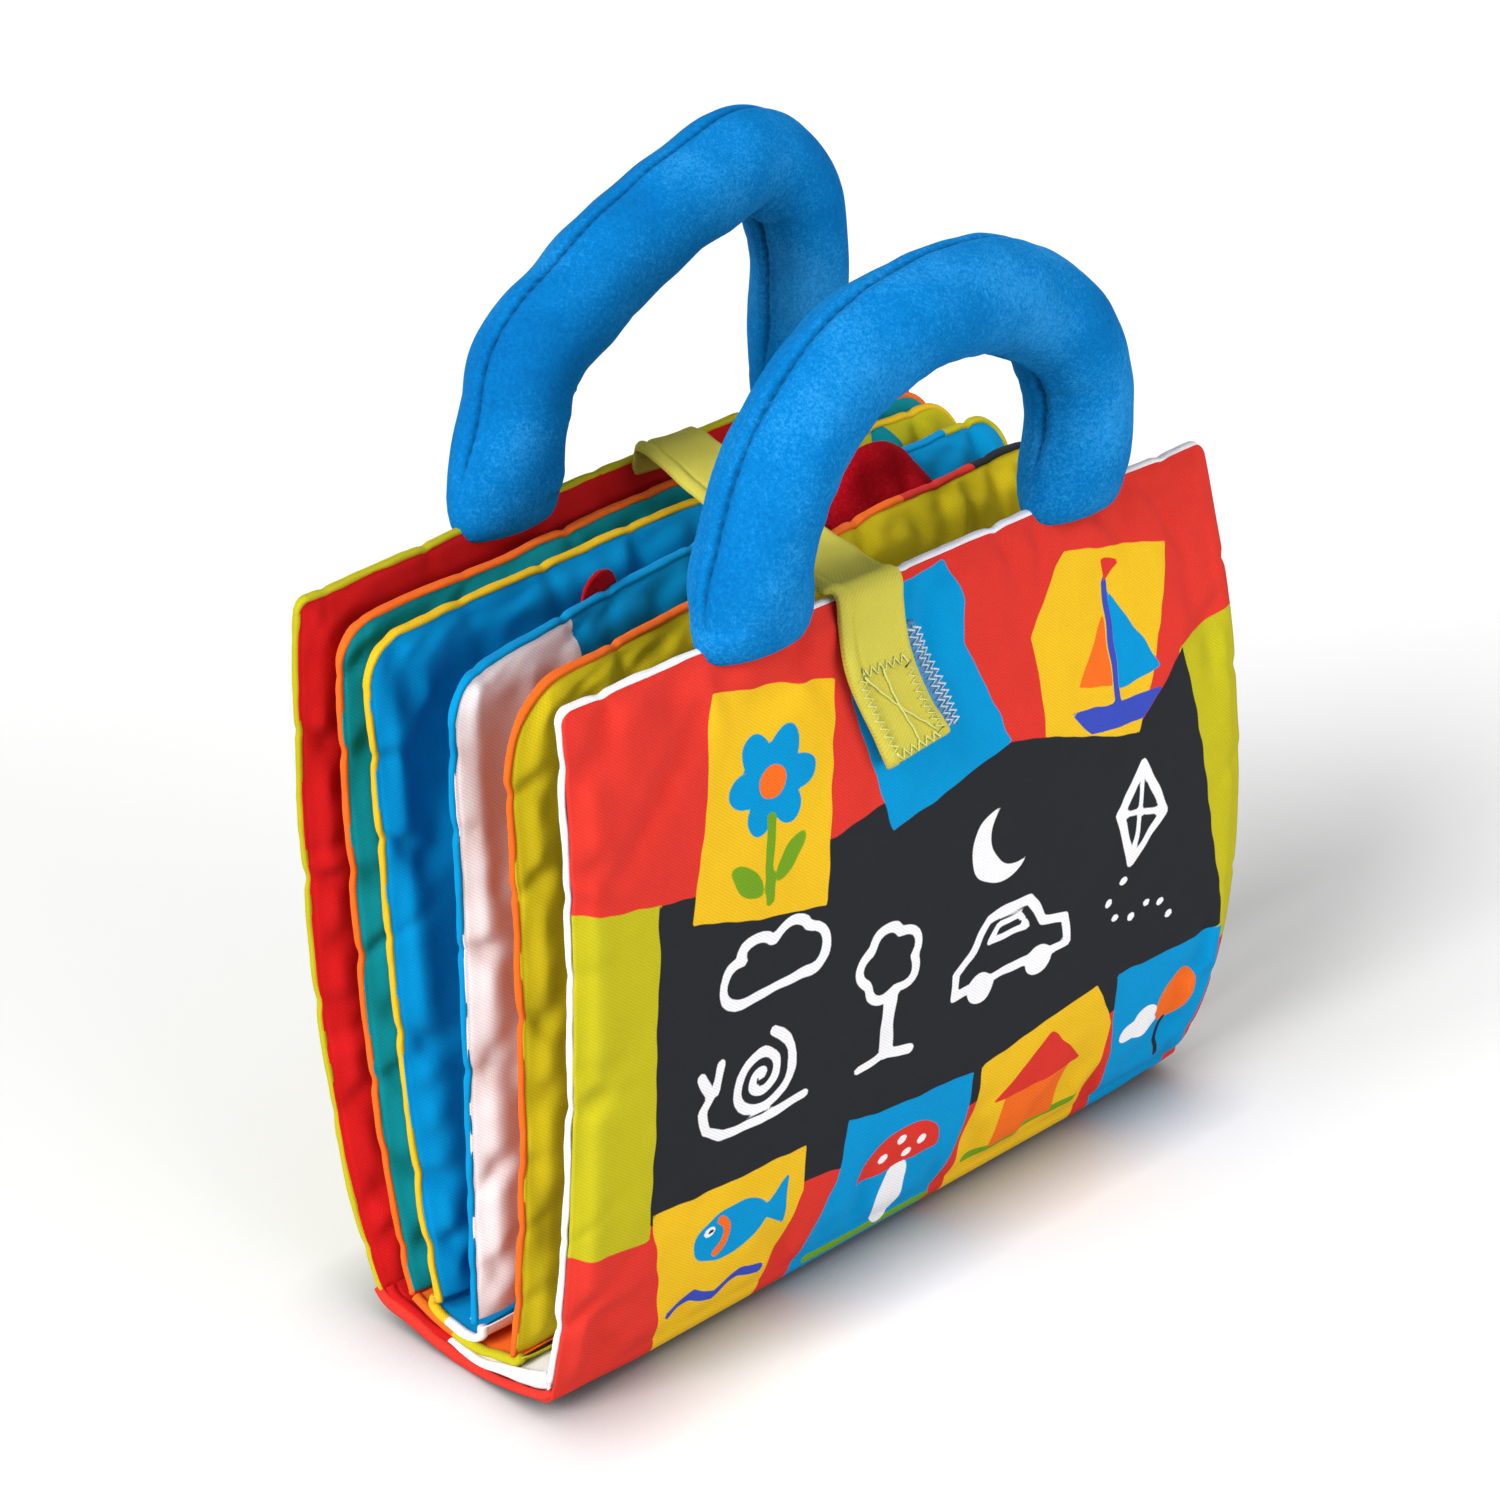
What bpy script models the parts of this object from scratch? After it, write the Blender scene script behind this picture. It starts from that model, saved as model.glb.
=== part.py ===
"""Padded cloth activity book that closes like a small bag and stands on its spine.

Metres, +Z up. X runs along the spine, the front cover faces -Y and the floor is z = 0.
Leaves are counted from the front: front cover, pages 1 to 4, back cover. Two pages and a
strip between them are one folded panel, sewn to the spine along its middle.
"""

import math
from typing import NamedTuple

import bmesh
import bpy
from mathutils import Vector

BOOK = "cloth_activity_book"
MM = 0.001

# Leaf sizes
COVER_WIDTH = 252 * MM
COVER_HEIGHT = 190 * MM
PAGE_WIDTH = 244 * MM
OUTER_PAGE_HEIGHT = 182.5 * MM
INNER_PAGE_HEIGHT = 178.5 * MM
LEAF_THICK = 7.8 * MM
EDGE_THICK = 3.8 * MM
CLOTH_THICK = 0.8 * MM
FILM_THICK = 0.3 * MM
RIM_WIDTH = 3.5 * MM
RIM_SLOPE = 0.8 * MM
SEAM_GAP = 0.3 * MM
COVER_CORNER = 4 * MM
PAGE_CORNER = 13 * MM
DROOPED_CORNER = 24 * MM
SIDE_DRAW = 1.5 * MM

# Spine and fold strips
REST_HALF = 24 * MM
COVER_FOLD_Z = 9 * MM
OUTER_FOLD_Z = 10.5 * MM
INNER_FOLD_Z = 13.5 * MM
SPINE_WADDING_THICK = 1.4 * MM
SEAM_FLAT = 3 * MM
THREAD_RADIUS = 0.35 * MM
STITCH_PITCH = 8 * MM
STITCH_RISE = 0.6 * MM
SPINE_BEND_SHARE = 0.4

# How far the leaves stand apart, as shares of OPEN_GAP: rows at the fold, half the cover's
# height and its whole height, each at the left side, the middle and the right side
OPEN_GAP = 30 * MM
GAP_SHARES = (
    ((0.34, 0.34, 0.34), (0.47, 0.80, 1.24), (0.54, 1.04, 1.44)),
    ((0.24, 0.24, 0.24), (0.44, 0.40, 0.37), (0.31, 0.64, 0.51)),
    ((0.21, 0.21, 0.21), (0.67, 0.45, 0.27), (0.81, 0.44, 0.34)),
    ((0.10, 0.10, 0.10), (0.17, 0.13, 0.11), (0.06, 0.06, 0.06)),
    ((0.01, 0.01, 0.01), (0.21, 0.14, 0.08), (0.11, 0.06, 0.11)),
)
# The front cover's lean and belly, as shares of its height
FRONT_LEAN_SHARES = ((0, 0, 0), (-0.047, -0.053, -0.095), (-0.047, -0.016, 0.022))
# Below 1, the leaves belly out sooner over the fold
BELLY_POWER = 0.85

# Grid lines of a leaf, as shares of its width and height inside the rolled rim
ACROSS_SHARES = (-0.86, -0.62, -0.37, -0.12, 0.12, 0.37, 0.62, 0.86)
UP_SHARES = (0, 0.1, 0.24, 0.4, 0.56, 0.72, 0.85, 0.94)

# Stuffed handles, pinched flat where they are sewn into the covers' top seams
HANDLE_RADIUS = 14.5 * MM
SLEEVE_THICK = 1.2 * MM
HANDLE_HALF_SPAN = 63 * MM
FRONT_HANDLE_X = 3 * MM
FRONT_HANDLE_RISE = 58.5 * MM
BACK_HANDLE_X = 15 * MM
BACK_HANDLE_RISE = 65.5 * MM
# Centre lines from foot to foot, as shares of the half span from the middle and of the rise
FRONT_ARCH_SHARES = (
    (-1, 0), (-1, 0.15), (-0.9, 0.45), (-0.72, 0.7), (-0.48, 0.87), (-0.14, 0.98), (0.13, 1),
    (0.46, 0.94), (0.79, 0.77), (0.94, 0.6), (1.01, 0.4), (1.02, 0.18), (1, 0),
)
BACK_ARCH_SHARES = (
    (-1, 0), (-0.97, 0.12), (-0.91, 0.3), (-0.83, 0.48), (-0.52, 0.67), (-0.22, 0.79),
    (0.11, 0.91), (0.48, 1), (0.71, 0.97), (0.87, 0.84), (0.96, 0.64), (0.99, 0.37),
    (1, 0.16), (1, 0),
)
FOOT_STUB = 4.5 * MM
FOOT_HALF_WIDTH = 18.5 * MM
FOOT_HALF_THICK = 2.1 * MM
TIP_HALF_THICK = 0.5 * MM
PIVOT_RISE = SEAM_GAP + EDGE_THICK / 2
FOOT_SWELL = 3.6
HANDLE_STEPS = 26
HANDLE_SIDES = 12
END_STATIONS = 3

# Closing strap, its hook tape, and the loop tape on the front cover
STRAP_WIDTH = 23 * MM
STRAP_THICK = 2 * MM
STRAP_ROOT = 4.5 * MM
STRAP_DROP = 44 * MM
STRAP_BEND = 3 * MM
STRAP_END_LIFT = 1.2 * MM
STRAP_SAG = 0.8 * MM
STRAP_X_SHARES = (0.056, 0.02, -0.03, -0.087, -0.083, -0.0615, -0.036)
STRAP_TURN_SHARE = 0.5
STRAP_FACE_SHARES = (0.12, 0.32, 0.5, 0.68, 0.84, 1)
TAPE_THICK = 1.2 * MM
LOOP_TAPE_WIDTH = 25 * MM
LOOP_TAPE_HEIGHT = 32 * MM
LOOP_TAPE_X = -15 * MM
LOOP_TAPE_SLANT = 0.45
HOOK_TAPE_WIDTH = 19 * MM
HOOK_TAPE_HEIGHT = 28 * MM
TAPE_INSET = 2.5 * MM
BOX_STITCH_INSET = 3 * MM
BOX_STITCH_HEIGHT = 26 * MM
BOX_STITCH_WIDTH = 1.6 * MM
BOX_STITCH_PITCH = 4 * MM

# Soft pieces between the pages
PAD_RADIUS = 28 * MM
PAD_THICK = 8 * MM
PAD_X = 56 * MM
PAD_RISE = 7 * MM
PAD_AROUND = 20
PAD_RINGS = 8
TAB_WIDTH = 16 * MM
TAB_HEIGHT = 22 * MM
TAB_THICK = 1.4 * MM
TAB_X = -56 * MM
TAB_RISE = 4.5 * MM
TAB_ROWS = 4
LOOP_TAPE_STEPS = 4

RED = "#DE2F30"
LIME = "#C3C82C"
WHITE = "#F1EEF1"
ORANGE = "#F07822"
YELLOW = "#F2C33A"
BLUE = "#00A0DB"
TEAL = "#0A97AC"
PLUSH = "#1877C9"
STRAP_LIME = "#C4CA50"
TAPE_BLUE = "#2C86C8"
DARK_RED = "#A80C16"
WADDING = "#EDEBE4"
FILM = "#DDE3E8"
CLOTH_ROUGH = 0.85
PLUSH_ROUGH = 0.95
TAPE_ROUGH = 0.8
FILM_ROUGH = 0.35


class Leaf(NamedTuple):
    """One leaf: its place in the stack, its size, and the colours of its two cloths."""

    name: str
    place: int
    width: float
    height: float
    fold_z: float
    corner: float
    front_colour: str
    back_colour: str
    has_film: bool


COVER = (COVER_WIDTH, COVER_HEIGHT, COVER_FOLD_Z, COVER_CORNER)
OUTER_PAGE = (PAGE_WIDTH, OUTER_PAGE_HEIGHT, OUTER_FOLD_Z)
INNER_PAGE = (PAGE_WIDTH, INNER_PAGE_HEIGHT, INNER_FOLD_Z)
FRONT_COVER = Leaf("front_cover", 0, *COVER, RED, WHITE, False)
PAGE_1 = Leaf("page_1", 1, *OUTER_PAGE, DROOPED_CORNER, LIME, ORANGE, True)
PAGE_2 = Leaf("page_2", 2, *INNER_PAGE, PAGE_CORNER, WHITE, BLUE, True)
PAGE_3 = Leaf("page_3", 3, *INNER_PAGE, PAGE_CORNER, BLUE, YELLOW, True)
PAGE_4 = Leaf("page_4", 4, *OUTER_PAGE, PAGE_CORNER, TEAL, ORANGE, True)
BACK_COVER = Leaf("back_cover", 5, *COVER, RED, LIME, False)
LEAVES = (FRONT_COVER, PAGE_1, PAGE_2, PAGE_3, PAGE_4, BACK_COVER)

RIM = RIM_WIDTH + RIM_SLOPE
SPINE_THICK = 2 * CLOTH_THICK + SPINE_WADDING_THICK + 2 * SEAM_GAP
STRIP_THICK = 2 * CLOTH_THICK + SEAM_GAP


def through(at, low, middle, high):
    """The parabola that is low at -1, middle at 0 and high at 1."""
    return low * at * (at - 1) / 2 + middle * (1 - at * at) + high * at * (at + 1) / 2


def over_leaf(rows, across, up):
    """A table's value at across, -1 to 1, and up, 0 at the fold to 1 at the top."""
    return through(2 * up - 1, *(through(across, *row) for row in rows))


SPINE_HALF = sum(LEAF_THICK + OPEN_GAP * rows[0][1] for rows in GAP_SHARES) / 2


def limit(value, low, high):
    return max(low, min(high, value))


def middle_y(leaf, x, z):
    """The y of a leaf's middle surface: the front cover's, then one leaf and gap after another."""
    across = limit(2 * x / COVER_WIDTH, -1, 1)
    up = limit((z - leaf.fold_z) / COVER_HEIGHT, 0, 1) ** BELLY_POWER
    y = COVER_HEIGHT * over_leaf(FRONT_LEAN_SHARES, across, up) - SPINE_HALF
    for rows in GAP_SHARES[: leaf.place]:
        y += LEAF_THICK + OPEN_GAP * over_leaf(rows, across, up)
    return y


def fold_y(leaf):
    return middle_y(leaf, 0, leaf.fold_z)


def top_z(leaf):
    return leaf.fold_z + leaf.height


def row_heights(leaf, inset):
    """Heights over the fold of a layer's rows, the last one inset from the leaf's top."""
    inner = leaf.height - RIM
    return [share * inner for share in UP_SHARES] + [leaf.height - inset]


def true_half_width(leaf, height):
    """Half the leaf's width: its sides drawn in at half height and its corners rounded."""
    up = height / leaf.height
    down = limit(leaf.height - height, 0, leaf.corner)
    arc = math.sqrt(leaf.corner**2 - (leaf.corner - down) ** 2)
    return leaf.width / 2 - leaf.corner + arc - SIDE_DRAW * math.sin(math.pi * up)


def half_width(leaf, height):
    """true_half_width on the rows that all layers share, and straight between them."""
    rows = row_heights(leaf, RIM) + [leaf.height - RIM_WIDTH, leaf.height]
    for low, high in zip(rows, rows[1:]):
        if height <= high:
            share = (height - low) / (high - low)
            ends = true_half_width(leaf, low), true_half_width(leaf, high)
            return ends[0] + share * (ends[1] - ends[0])
    return true_half_width(leaf, leaf.height)


def half_thick(leaf, x, z):
    """Half the leaf's thickness: thin at the seams and crowned over the wadding."""
    height = limit(z - leaf.fold_z, 0, leaf.height)
    across = limit(x / (half_width(leaf, height) - RIM), -1, 1)
    up = limit(2 * height / (leaf.height - RIM) - 1, -1, 1)
    crown = (1 - across**4) * (1 - up**4)
    return (EDGE_THICK + (LEAF_THICK - EDGE_THICK) * crown) / 2


def face_y(leaf, x, z, side):
    """The y of a leaf's outer face, at the front for side -1 and the back for side 1."""
    return middle_y(leaf, x, z) + side * half_thick(leaf, x, z)


def linear(hex_colour):
    values = [int(hex_colour[i : i + 2], 16) / 255 for i in (1, 3, 5)]
    return [v / 12.92 if v <= 0.04045 else ((v + 0.055) / 1.055) ** 2.4 for v in values]


def material(name, colour, roughness):
    made = bpy.data.materials.new(name)
    made.use_nodes = True
    made.diffuse_color = (*linear(colour), 1)
    shader = made.node_tree.nodes["Principled BSDF"]
    shader.inputs["Base Color"].default_value = (*linear(colour), 1)
    shader.inputs["Roughness"].default_value = roughness
    shader.inputs["Metallic"].default_value = 0
    return made


def start_scene():
    for old in list(bpy.data.objects):
        bpy.data.objects.remove(old)
    collection = bpy.data.collections.new(BOOK)
    bpy.context.scene.collection.children.link(collection)
    return collection


COLLECTION = start_scene()


def hinge(name, place, parent=None):
    """An empty on a joint's axis, which carries the pieces that turn with it."""
    empty = bpy.data.objects.new(name, None)
    empty.empty_display_size = RIM_WIDTH
    empty.location = place - (parent.matrix_world.translation if parent else Vector())
    empty.parent = parent
    COLLECTION.objects.link(empty)
    bpy.context.view_layer.update()
    return empty


def add_object(name, data, paint, carrier):
    made = bpy.data.objects.new(name, data)
    data.materials.append(material(name, *paint))
    made.parent = carrier
    COLLECTION.objects.link(made)
    return made


def finish_mesh(name, mesh, paint, carrier):
    """An object from a bmesh, with its faces turned out."""
    bmesh.ops.recalc_face_normals(mesh, faces=mesh.faces[:])
    if mesh.calc_volume(signed=True) < 0:
        bmesh.ops.reverse_faces(mesh, faces=mesh.faces[:])
    data = bpy.data.meshes.new(name)
    mesh.to_mesh(data)
    mesh.free()
    return add_object(name, data, paint, carrier)


def slab(name, columns, rows, near, far, paint, carrier):
    """A closed sheet from a grid moved to near(column, row) and its copy to far(column, row)."""
    mesh = bmesh.new()
    bmesh.ops.create_grid(mesh, x_segments=columns, y_segments=rows, size=1)
    copied = bmesh.ops.extrude_face_region(mesh, geom=mesh.faces[:])["geom"]
    far_vertices = {item for item in copied if isinstance(item, bmesh.types.BMVert)}
    origin = carrier.matrix_world.translation
    for vertex in mesh.verts:
        column = round((vertex.co.x + 1) / 2 * columns)
        row = round((vertex.co.y + 1) / 2 * rows)
        place = far if vertex in far_vertices else near
        vertex.co = place(column, row) - origin
    return finish_mesh(name, mesh, paint, carrier)


def leaf_layer(leaf, part, insets, shares, near, far, paint, carrier):
    """One layer of a leaf. insets are its column insets, from the side edge to the field."""
    inner = insets[-1]
    columns = [(-1, inset) for inset in insets]
    columns += [(share, inner) for share in shares]
    columns += [(1, inset) for inset in reversed(insets)]
    heights = row_heights(leaf, inner) + [leaf.height - inset for inset in reversed(insets[:-1])]

    def point(column, row, offset):
        share, inset = columns[column]
        height = heights[row]
        x = share * (half_width(leaf, height) - inset)
        z = leaf.fold_z + height
        return Vector((x, middle_y(leaf, x, z) + offset(x, z, column, row), z))

    slab(
        f"{leaf.name}_{part}",
        len(columns) - 1,
        len(heights) - 1,
        lambda column, row: point(column, row, near),
        lambda column, row: point(column, row, far),
        paint,
        carrier,
    )


def front_cloth(leaf, carrier):
    def near(x, z, *_):
        return -half_thick(leaf, x, z)

    def far(x, z, *_):
        return CLOTH_THICK - half_thick(leaf, x, z)

    paint = (leaf.front_colour, CLOTH_ROUGH)
    leaf_layer(leaf, "front_cloth", (RIM,), ACROSS_SHARES, near, far, paint, carrier)


def back_cloth(leaf, carrier):
    """The back cloth, rolled round the leaf's sides and top as a rim that the front shows."""
    insets = (0, RIM_WIDTH, RIM)
    last_column = 2 * len(insets) + len(ACROSS_SHARES) - 1
    rim_row = len(UP_SHARES) + 1

    def near(x, z, column, row):
        half = half_thick(leaf, x, z)
        in_rim = column < 2 or column > last_column - 2 or row >= rim_row
        return -half if in_rim else half - CLOTH_THICK

    def far(x, z, *_):
        return half_thick(leaf, x, z)

    paint = (leaf.back_colour, CLOTH_ROUGH)
    leaf_layer(leaf, "back_cloth", insets, ACROSS_SHARES, near, far, paint, carrier)


def wadding(leaf, carrier):
    skin = CLOTH_THICK + SEAM_GAP
    front_skin = skin + (FILM_THICK + SEAM_GAP if leaf.has_film else 0)

    def near(x, z, *_):
        return front_skin - half_thick(leaf, x, z)

    def far(x, z, *_):
        return half_thick(leaf, x, z) - skin

    paint = (WADDING, CLOTH_ROUGH)
    inset = (RIM + SEAM_GAP,)
    leaf_layer(leaf, "wadding", inset, ACROSS_SHARES, near, far, paint, carrier)


def crinkle_film(leaf, carrier):
    skin = CLOTH_THICK + SEAM_GAP

    def near(x, z, *_):
        return skin - half_thick(leaf, x, z)

    def far(x, z, *_):
        return skin + FILM_THICK - half_thick(leaf, x, z)

    paint = (FILM, FILM_ROUGH)
    inset = (RIM + 2 * SEAM_GAP,)
    leaf_layer(leaf, "crinkle_film", inset, ACROSS_SHARES, near, far, paint, carrier)


def leaf_body(leaf):
    """A leaf on its fold line, which is its hinge."""
    carrier = hinge(f"{leaf.name}_hinge", Vector((0, fold_y(leaf), leaf.fold_z)))
    back_cloth(leaf, carrier)
    wadding(leaf, carrier)
    front_cloth(leaf, carrier)
    if leaf.has_film:
        crinkle_film(leaf, carrier)
    return carrier


def strip(name, profile, half_length, bottom, thick, colour, carrier):
    """A band along the spine: profile is its y and z points, lifted by bottom."""

    def point(column, row, lift):
        y, z = profile[row]
        return Vector((half_length * (2 * column - 1), y, z + lift))

    slab(
        name,
        1,
        len(profile) - 1,
        lambda column, row: point(column, row, bottom),
        lambda column, row: point(column, row, bottom + thick),
        (colour, CLOTH_ROUGH),
        carrier,
    )


def spine_profile():
    """The spine's underside: flat where it rests and curving up to the covers' folds."""
    end = SPINE_HALF - SEAM_GAP
    rise = COVER_FOLD_Z - SEAM_GAP - SPINE_THICK
    bend = ((REST_HALF + end) / 2, rise * SPINE_BEND_SHARE)
    right = [(REST_HALF, 0), bend, (end, rise)]
    return [(-y, z) for y, z in reversed(right)] + right


def spine(carrier):
    profile = spine_profile()
    half = COVER_WIDTH / 2
    strip("spine_outer_cloth", profile, half, 0, CLOTH_THICK, RED, carrier)
    lift = CLOTH_THICK + SEAM_GAP
    inner_half = half - RIM_WIDTH
    thick = SPINE_WADDING_THICK
    strip("spine_wadding", profile, inner_half, lift, thick, WADDING, carrier)
    lift += SPINE_WADDING_THICK + SEAM_GAP
    strip("spine_lining", profile, half, lift, CLOTH_THICK, WHITE, carrier)


SEAM_Y = (fold_y(PAGE_2) + fold_y(PAGE_3)) / 2


def fold_strips(name, first, last, seam_z, colours, carrier):
    """The two cloths between a panel's folds, which dip to the seam in the middle."""
    hinge_z = first.fold_z - SEAM_GAP - STRIP_THICK
    profile = [
        (fold_y(first) + SEAM_GAP, hinge_z),
        (SEAM_Y - SEAM_FLAT / 2, seam_z),
        (SEAM_Y + SEAM_FLAT / 2, seam_z),
        (fold_y(last) - SEAM_GAP, hinge_z),
    ]
    half = PAGE_WIDTH / 2
    strip(f"{name}_outer_cloth", profile, half, 0, CLOTH_THICK, colours[0], carrier)
    lift = CLOTH_THICK + SEAM_GAP
    strip(f"{name}_inner_cloth", profile, half, lift, CLOTH_THICK, colours[1], carrier)


def thread(name, points, colour, carrier):
    """One sewing thread, a thin tube along its points."""
    curve = bpy.data.curves.new(name, "CURVE")
    curve.dimensions = "3D"
    curve.bevel_depth = THREAD_RADIUS
    curve.bevel_resolution = 0
    curve.use_fill_caps = True
    line = curve.splines.new("POLY")
    line.points.add(len(points) - 1)
    origin = carrier.matrix_world.translation
    for spot, place in zip(line.points, points):
        spot.co = (*(place - origin), 1)
    add_object(name, curve, (colour, TAPE_ROUGH), carrier)


def spine_stitching(carrier):
    """The row of stitches that holds the three panels together, up and down along the seam."""
    seam_top = SPINE_THICK + 2 * (SEAM_GAP + STRIP_THICK)
    low = seam_top + SEAM_GAP + THREAD_RADIUS
    count = 2 * round(PAGE_WIDTH / STITCH_PITCH) - 1
    step = PAGE_WIDTH / (count + 1)
    points = [
        Vector(((i + 1) * step - PAGE_WIDTH / 2, SEAM_Y, low + STITCH_RISE * (i % 2)))
        for i in range(count)
    ]
    thread("spine_stitching", points, WHITE, carrier)


def handle_foot(cover, x):
    """A handle's pivot over the cover's top seam, high enough for its pinched end to turn."""
    z = top_z(cover)
    return Vector((x, middle_y(cover, x, z), z + PIVOT_RISE))


class Station(NamedTuple):
    """A place on a handle's centre line, with half its width and half its thickness there."""

    place: Vector
    along: Vector
    half_width: float
    half_thick: float


def on_curve(knots, at):
    """The smooth curve through the knots, at 0 to their count less one, and its direction."""
    span = limit(int(at), 0, len(knots) - 2)
    rest = at - span
    near = [limit(span + step, 0, len(knots) - 1) for step in (-1, 0, 1, 2)]
    before, low, high, after = (Vector(knots[index]) for index in near)
    slope, far_slope = (high - before) / 2, (after - low) / 2
    bend = 3 * (high - low) - 2 * slope - far_slope
    twist = slope + far_slope - 2 * (high - low)
    place = low + rest * (slope + rest * (bend + rest * twist))
    return place, slope + rest * (2 * bend + 3 * rest * twist)


def handle_stations(cover, centre_x, rise, shares):
    """The handle from foot to foot: a pinched tip, a flat stub, the swelling arch, and back."""
    left = handle_foot(cover, centre_x - HANDLE_HALF_SPAN)
    right = handle_foot(cover, centre_x + HANDLE_HALF_SPAN)
    up = Vector((0, 0, 1))
    half_edge = EDGE_THICK / 2

    def foot(place, side):
        tip = place - up * (half_edge - TIP_HALF_THICK / 2)
        ends = [Station(tip, up * side, FOOT_HALF_WIDTH, TIP_HALF_THICK)]
        return ends + [Station(place, up * side, FOOT_HALF_WIDTH, half_edge)]

    def arch(step):
        at, run = on_curve(shares, (len(shares) - 1) * step / HANDLE_STEPS)
        swell = 1 - (1 - min(1, FOOT_SWELL * at.y)) ** 2
        place = left.lerp(right, (1 + at.x) / 2) + Vector((0, 0, FOOT_STUB + rise * at.y))
        along = Vector((HANDLE_HALF_SPAN * run.x, 0, rise * run.y)).normalized()
        wide = FOOT_HALF_WIDTH + (HANDLE_RADIUS - FOOT_HALF_WIDTH) * swell
        thick = FOOT_HALF_THICK + (HANDLE_RADIUS - FOOT_HALF_THICK) * swell
        return Station(place, along, wide, thick)

    steps = [arch(step) for step in range(HANDLE_STEPS + 1)]
    return foot(left, 1) + steps + foot(right, -1)[::-1]


def ring(station, wall, across):
    """An oval section, inside the outer one by the wall or by half where that is thin."""
    thick = station.half_thick - min(wall, station.half_thick / 2)
    wide = station.half_width - wall
    side = across.cross(station.along).normalized()
    turns = [2 * math.pi * step / HANDLE_SIDES for step in range(HANDLE_SIDES)]
    return [
        station.place + side * wide * math.cos(turn) + across * thick * math.sin(turn)
        for turn in turns
    ]


def loft(name, rings, is_loop, paint, carrier):
    """A skin from ring to ring, joined end to end or closed by a face at each end."""
    mesh = bmesh.new()
    origin = carrier.matrix_world.translation
    loops = [[mesh.verts.new(place - origin) for place in places] for places in rings]
    pairs = list(zip(loops, loops[1:]))
    if is_loop:
        pairs.append((loops[-1], loops[0]))
    else:
        mesh.faces.new(loops[0])
        mesh.faces.new(loops[-1])
    for low, high in pairs:
        for at in range(len(low)):
            mesh.faces.new((low[at - 1], low[at], high[at], high[at - 1]))
    made = finish_mesh(name, mesh, paint, carrier)
    for face in made.data.polygons:
        face.use_smooth = len(face.vertices) == 4
    return made


def handle(name, cover, centre_x, rise, shares, cover_hinge):
    """A velour sleeve, open at its pinched feet, and the stuffing that rounds it."""
    stations = handle_stations(cover, centre_x, rise, shares)
    feet = stations[1].place, stations[-2].place
    carrier = hinge(f"{name}_hinge", (feet[0] + feet[1]) / 2, cover_hinge)
    across = Vector((feet[1].y - feet[0].y, feet[0].x - feet[1].x, 0)).normalized()
    print(name, "axis", " ".join(f"{value:.4f}" for value in (feet[1] - feet[0]).normalized()))
    outer = [ring(station, 0, across) for station in stations]
    inner = [ring(station, SLEEVE_THICK, across) for station in reversed(stations)]
    loft(f"{name}_sleeve", outer + inner, True, (PLUSH, PLUSH_ROUGH), carrier)
    filled = stations[-END_STATIONS - 1 : END_STATIONS - 1 : -1]
    core = [ring(station, SLEEVE_THICK + 2 * SEAM_GAP, across) for station in filled]
    loft(f"{name}_stuffing", core, False, (WADDING, CLOTH_ROUGH), carrier)
    return carrier


def strap_x(share):
    """The strap's middle x at a share of its route."""
    spans = len(STRAP_X_SHARES) - 1
    at = limit(int(share * spans), 0, spans - 1)
    low, high = STRAP_X_SHARES[at : at + 2]
    return COVER_WIDTH * (low + (share * spans - at) * (high - low))


def strap_route():
    """The strap's underside: up the back cover, over the pages and down the front cover."""
    root_x = strap_x(0)
    root_z = top_z(BACK_COVER)
    side_x = root_x - STRAP_WIDTH / 2
    cover_y = face_y(BACK_COVER, side_x, root_z - STRAP_ROOT, -1)
    root_y = cover_y - SEAM_GAP - STRAP_THICK
    edge_x = strap_x(STRAP_TURN_SHARE)
    edge_z = top_z(FRONT_COVER) + SEAM_GAP
    edge_y = face_y(FRONT_COVER, edge_x, edge_z, 1)
    route = [
        Vector((root_x, root_y, root_z - STRAP_ROOT)),
        Vector((root_x, root_y, root_z - SEAM_GAP)),
        Vector((root_x, root_y - STRAP_BEND, root_z + STRAP_THICK)),
    ]
    middle = (route[-1] + Vector((edge_x, edge_y, edge_z + STRAP_SAG))) / 2
    route.append(middle - Vector((0, 0, STRAP_SAG)))
    route.append(Vector((edge_x, edge_y + STRAP_BEND, edge_z + STRAP_SAG)))
    stand_off = 4 * SEAM_GAP + 2 * TAPE_THICK
    front_y = face_y(FRONT_COVER, edge_x, edge_z, -1)
    route.append(Vector((edge_x, front_y - STRAP_SAG, edge_z + STRAP_SAG)))
    for share in STRAP_FACE_SHARES:
        x = strap_x(STRAP_TURN_SHARE + (1 - STRAP_TURN_SHARE) * share)
        z = top_z(FRONT_COVER) - STRAP_DROP * share
        lift = stand_off + STRAP_END_LIFT * share**4
        route.append(Vector((x, face_y(FRONT_COVER, x, z, -1) - lift, z)))
    return route


STRAP_ROUTE = strap_route()
STRAP_FACE_START = len(STRAP_ROUTE) - len(STRAP_FACE_SHARES)


def strap_normal(at):
    """The strap's outward side at a route point, square to its run and to X."""
    before = STRAP_ROUTE[max(at - 1, 0)]
    after = STRAP_ROUTE[min(at + 1, len(STRAP_ROUTE) - 1)]
    run = after - before
    return Vector((0, run.z, -run.y)).normalized()


def on_strap(position, aside, lift):
    """A point at a place between route points, beside its middle and over its underside."""
    at = min(int(position), len(STRAP_ROUTE) - 2)
    share = position - at
    spot = STRAP_ROUTE[at].lerp(STRAP_ROUTE[at + 1], share)
    out = strap_normal(at).lerp(strap_normal(at + 1), share)
    return spot + out * lift + Vector((aside, 0, 0))


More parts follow.
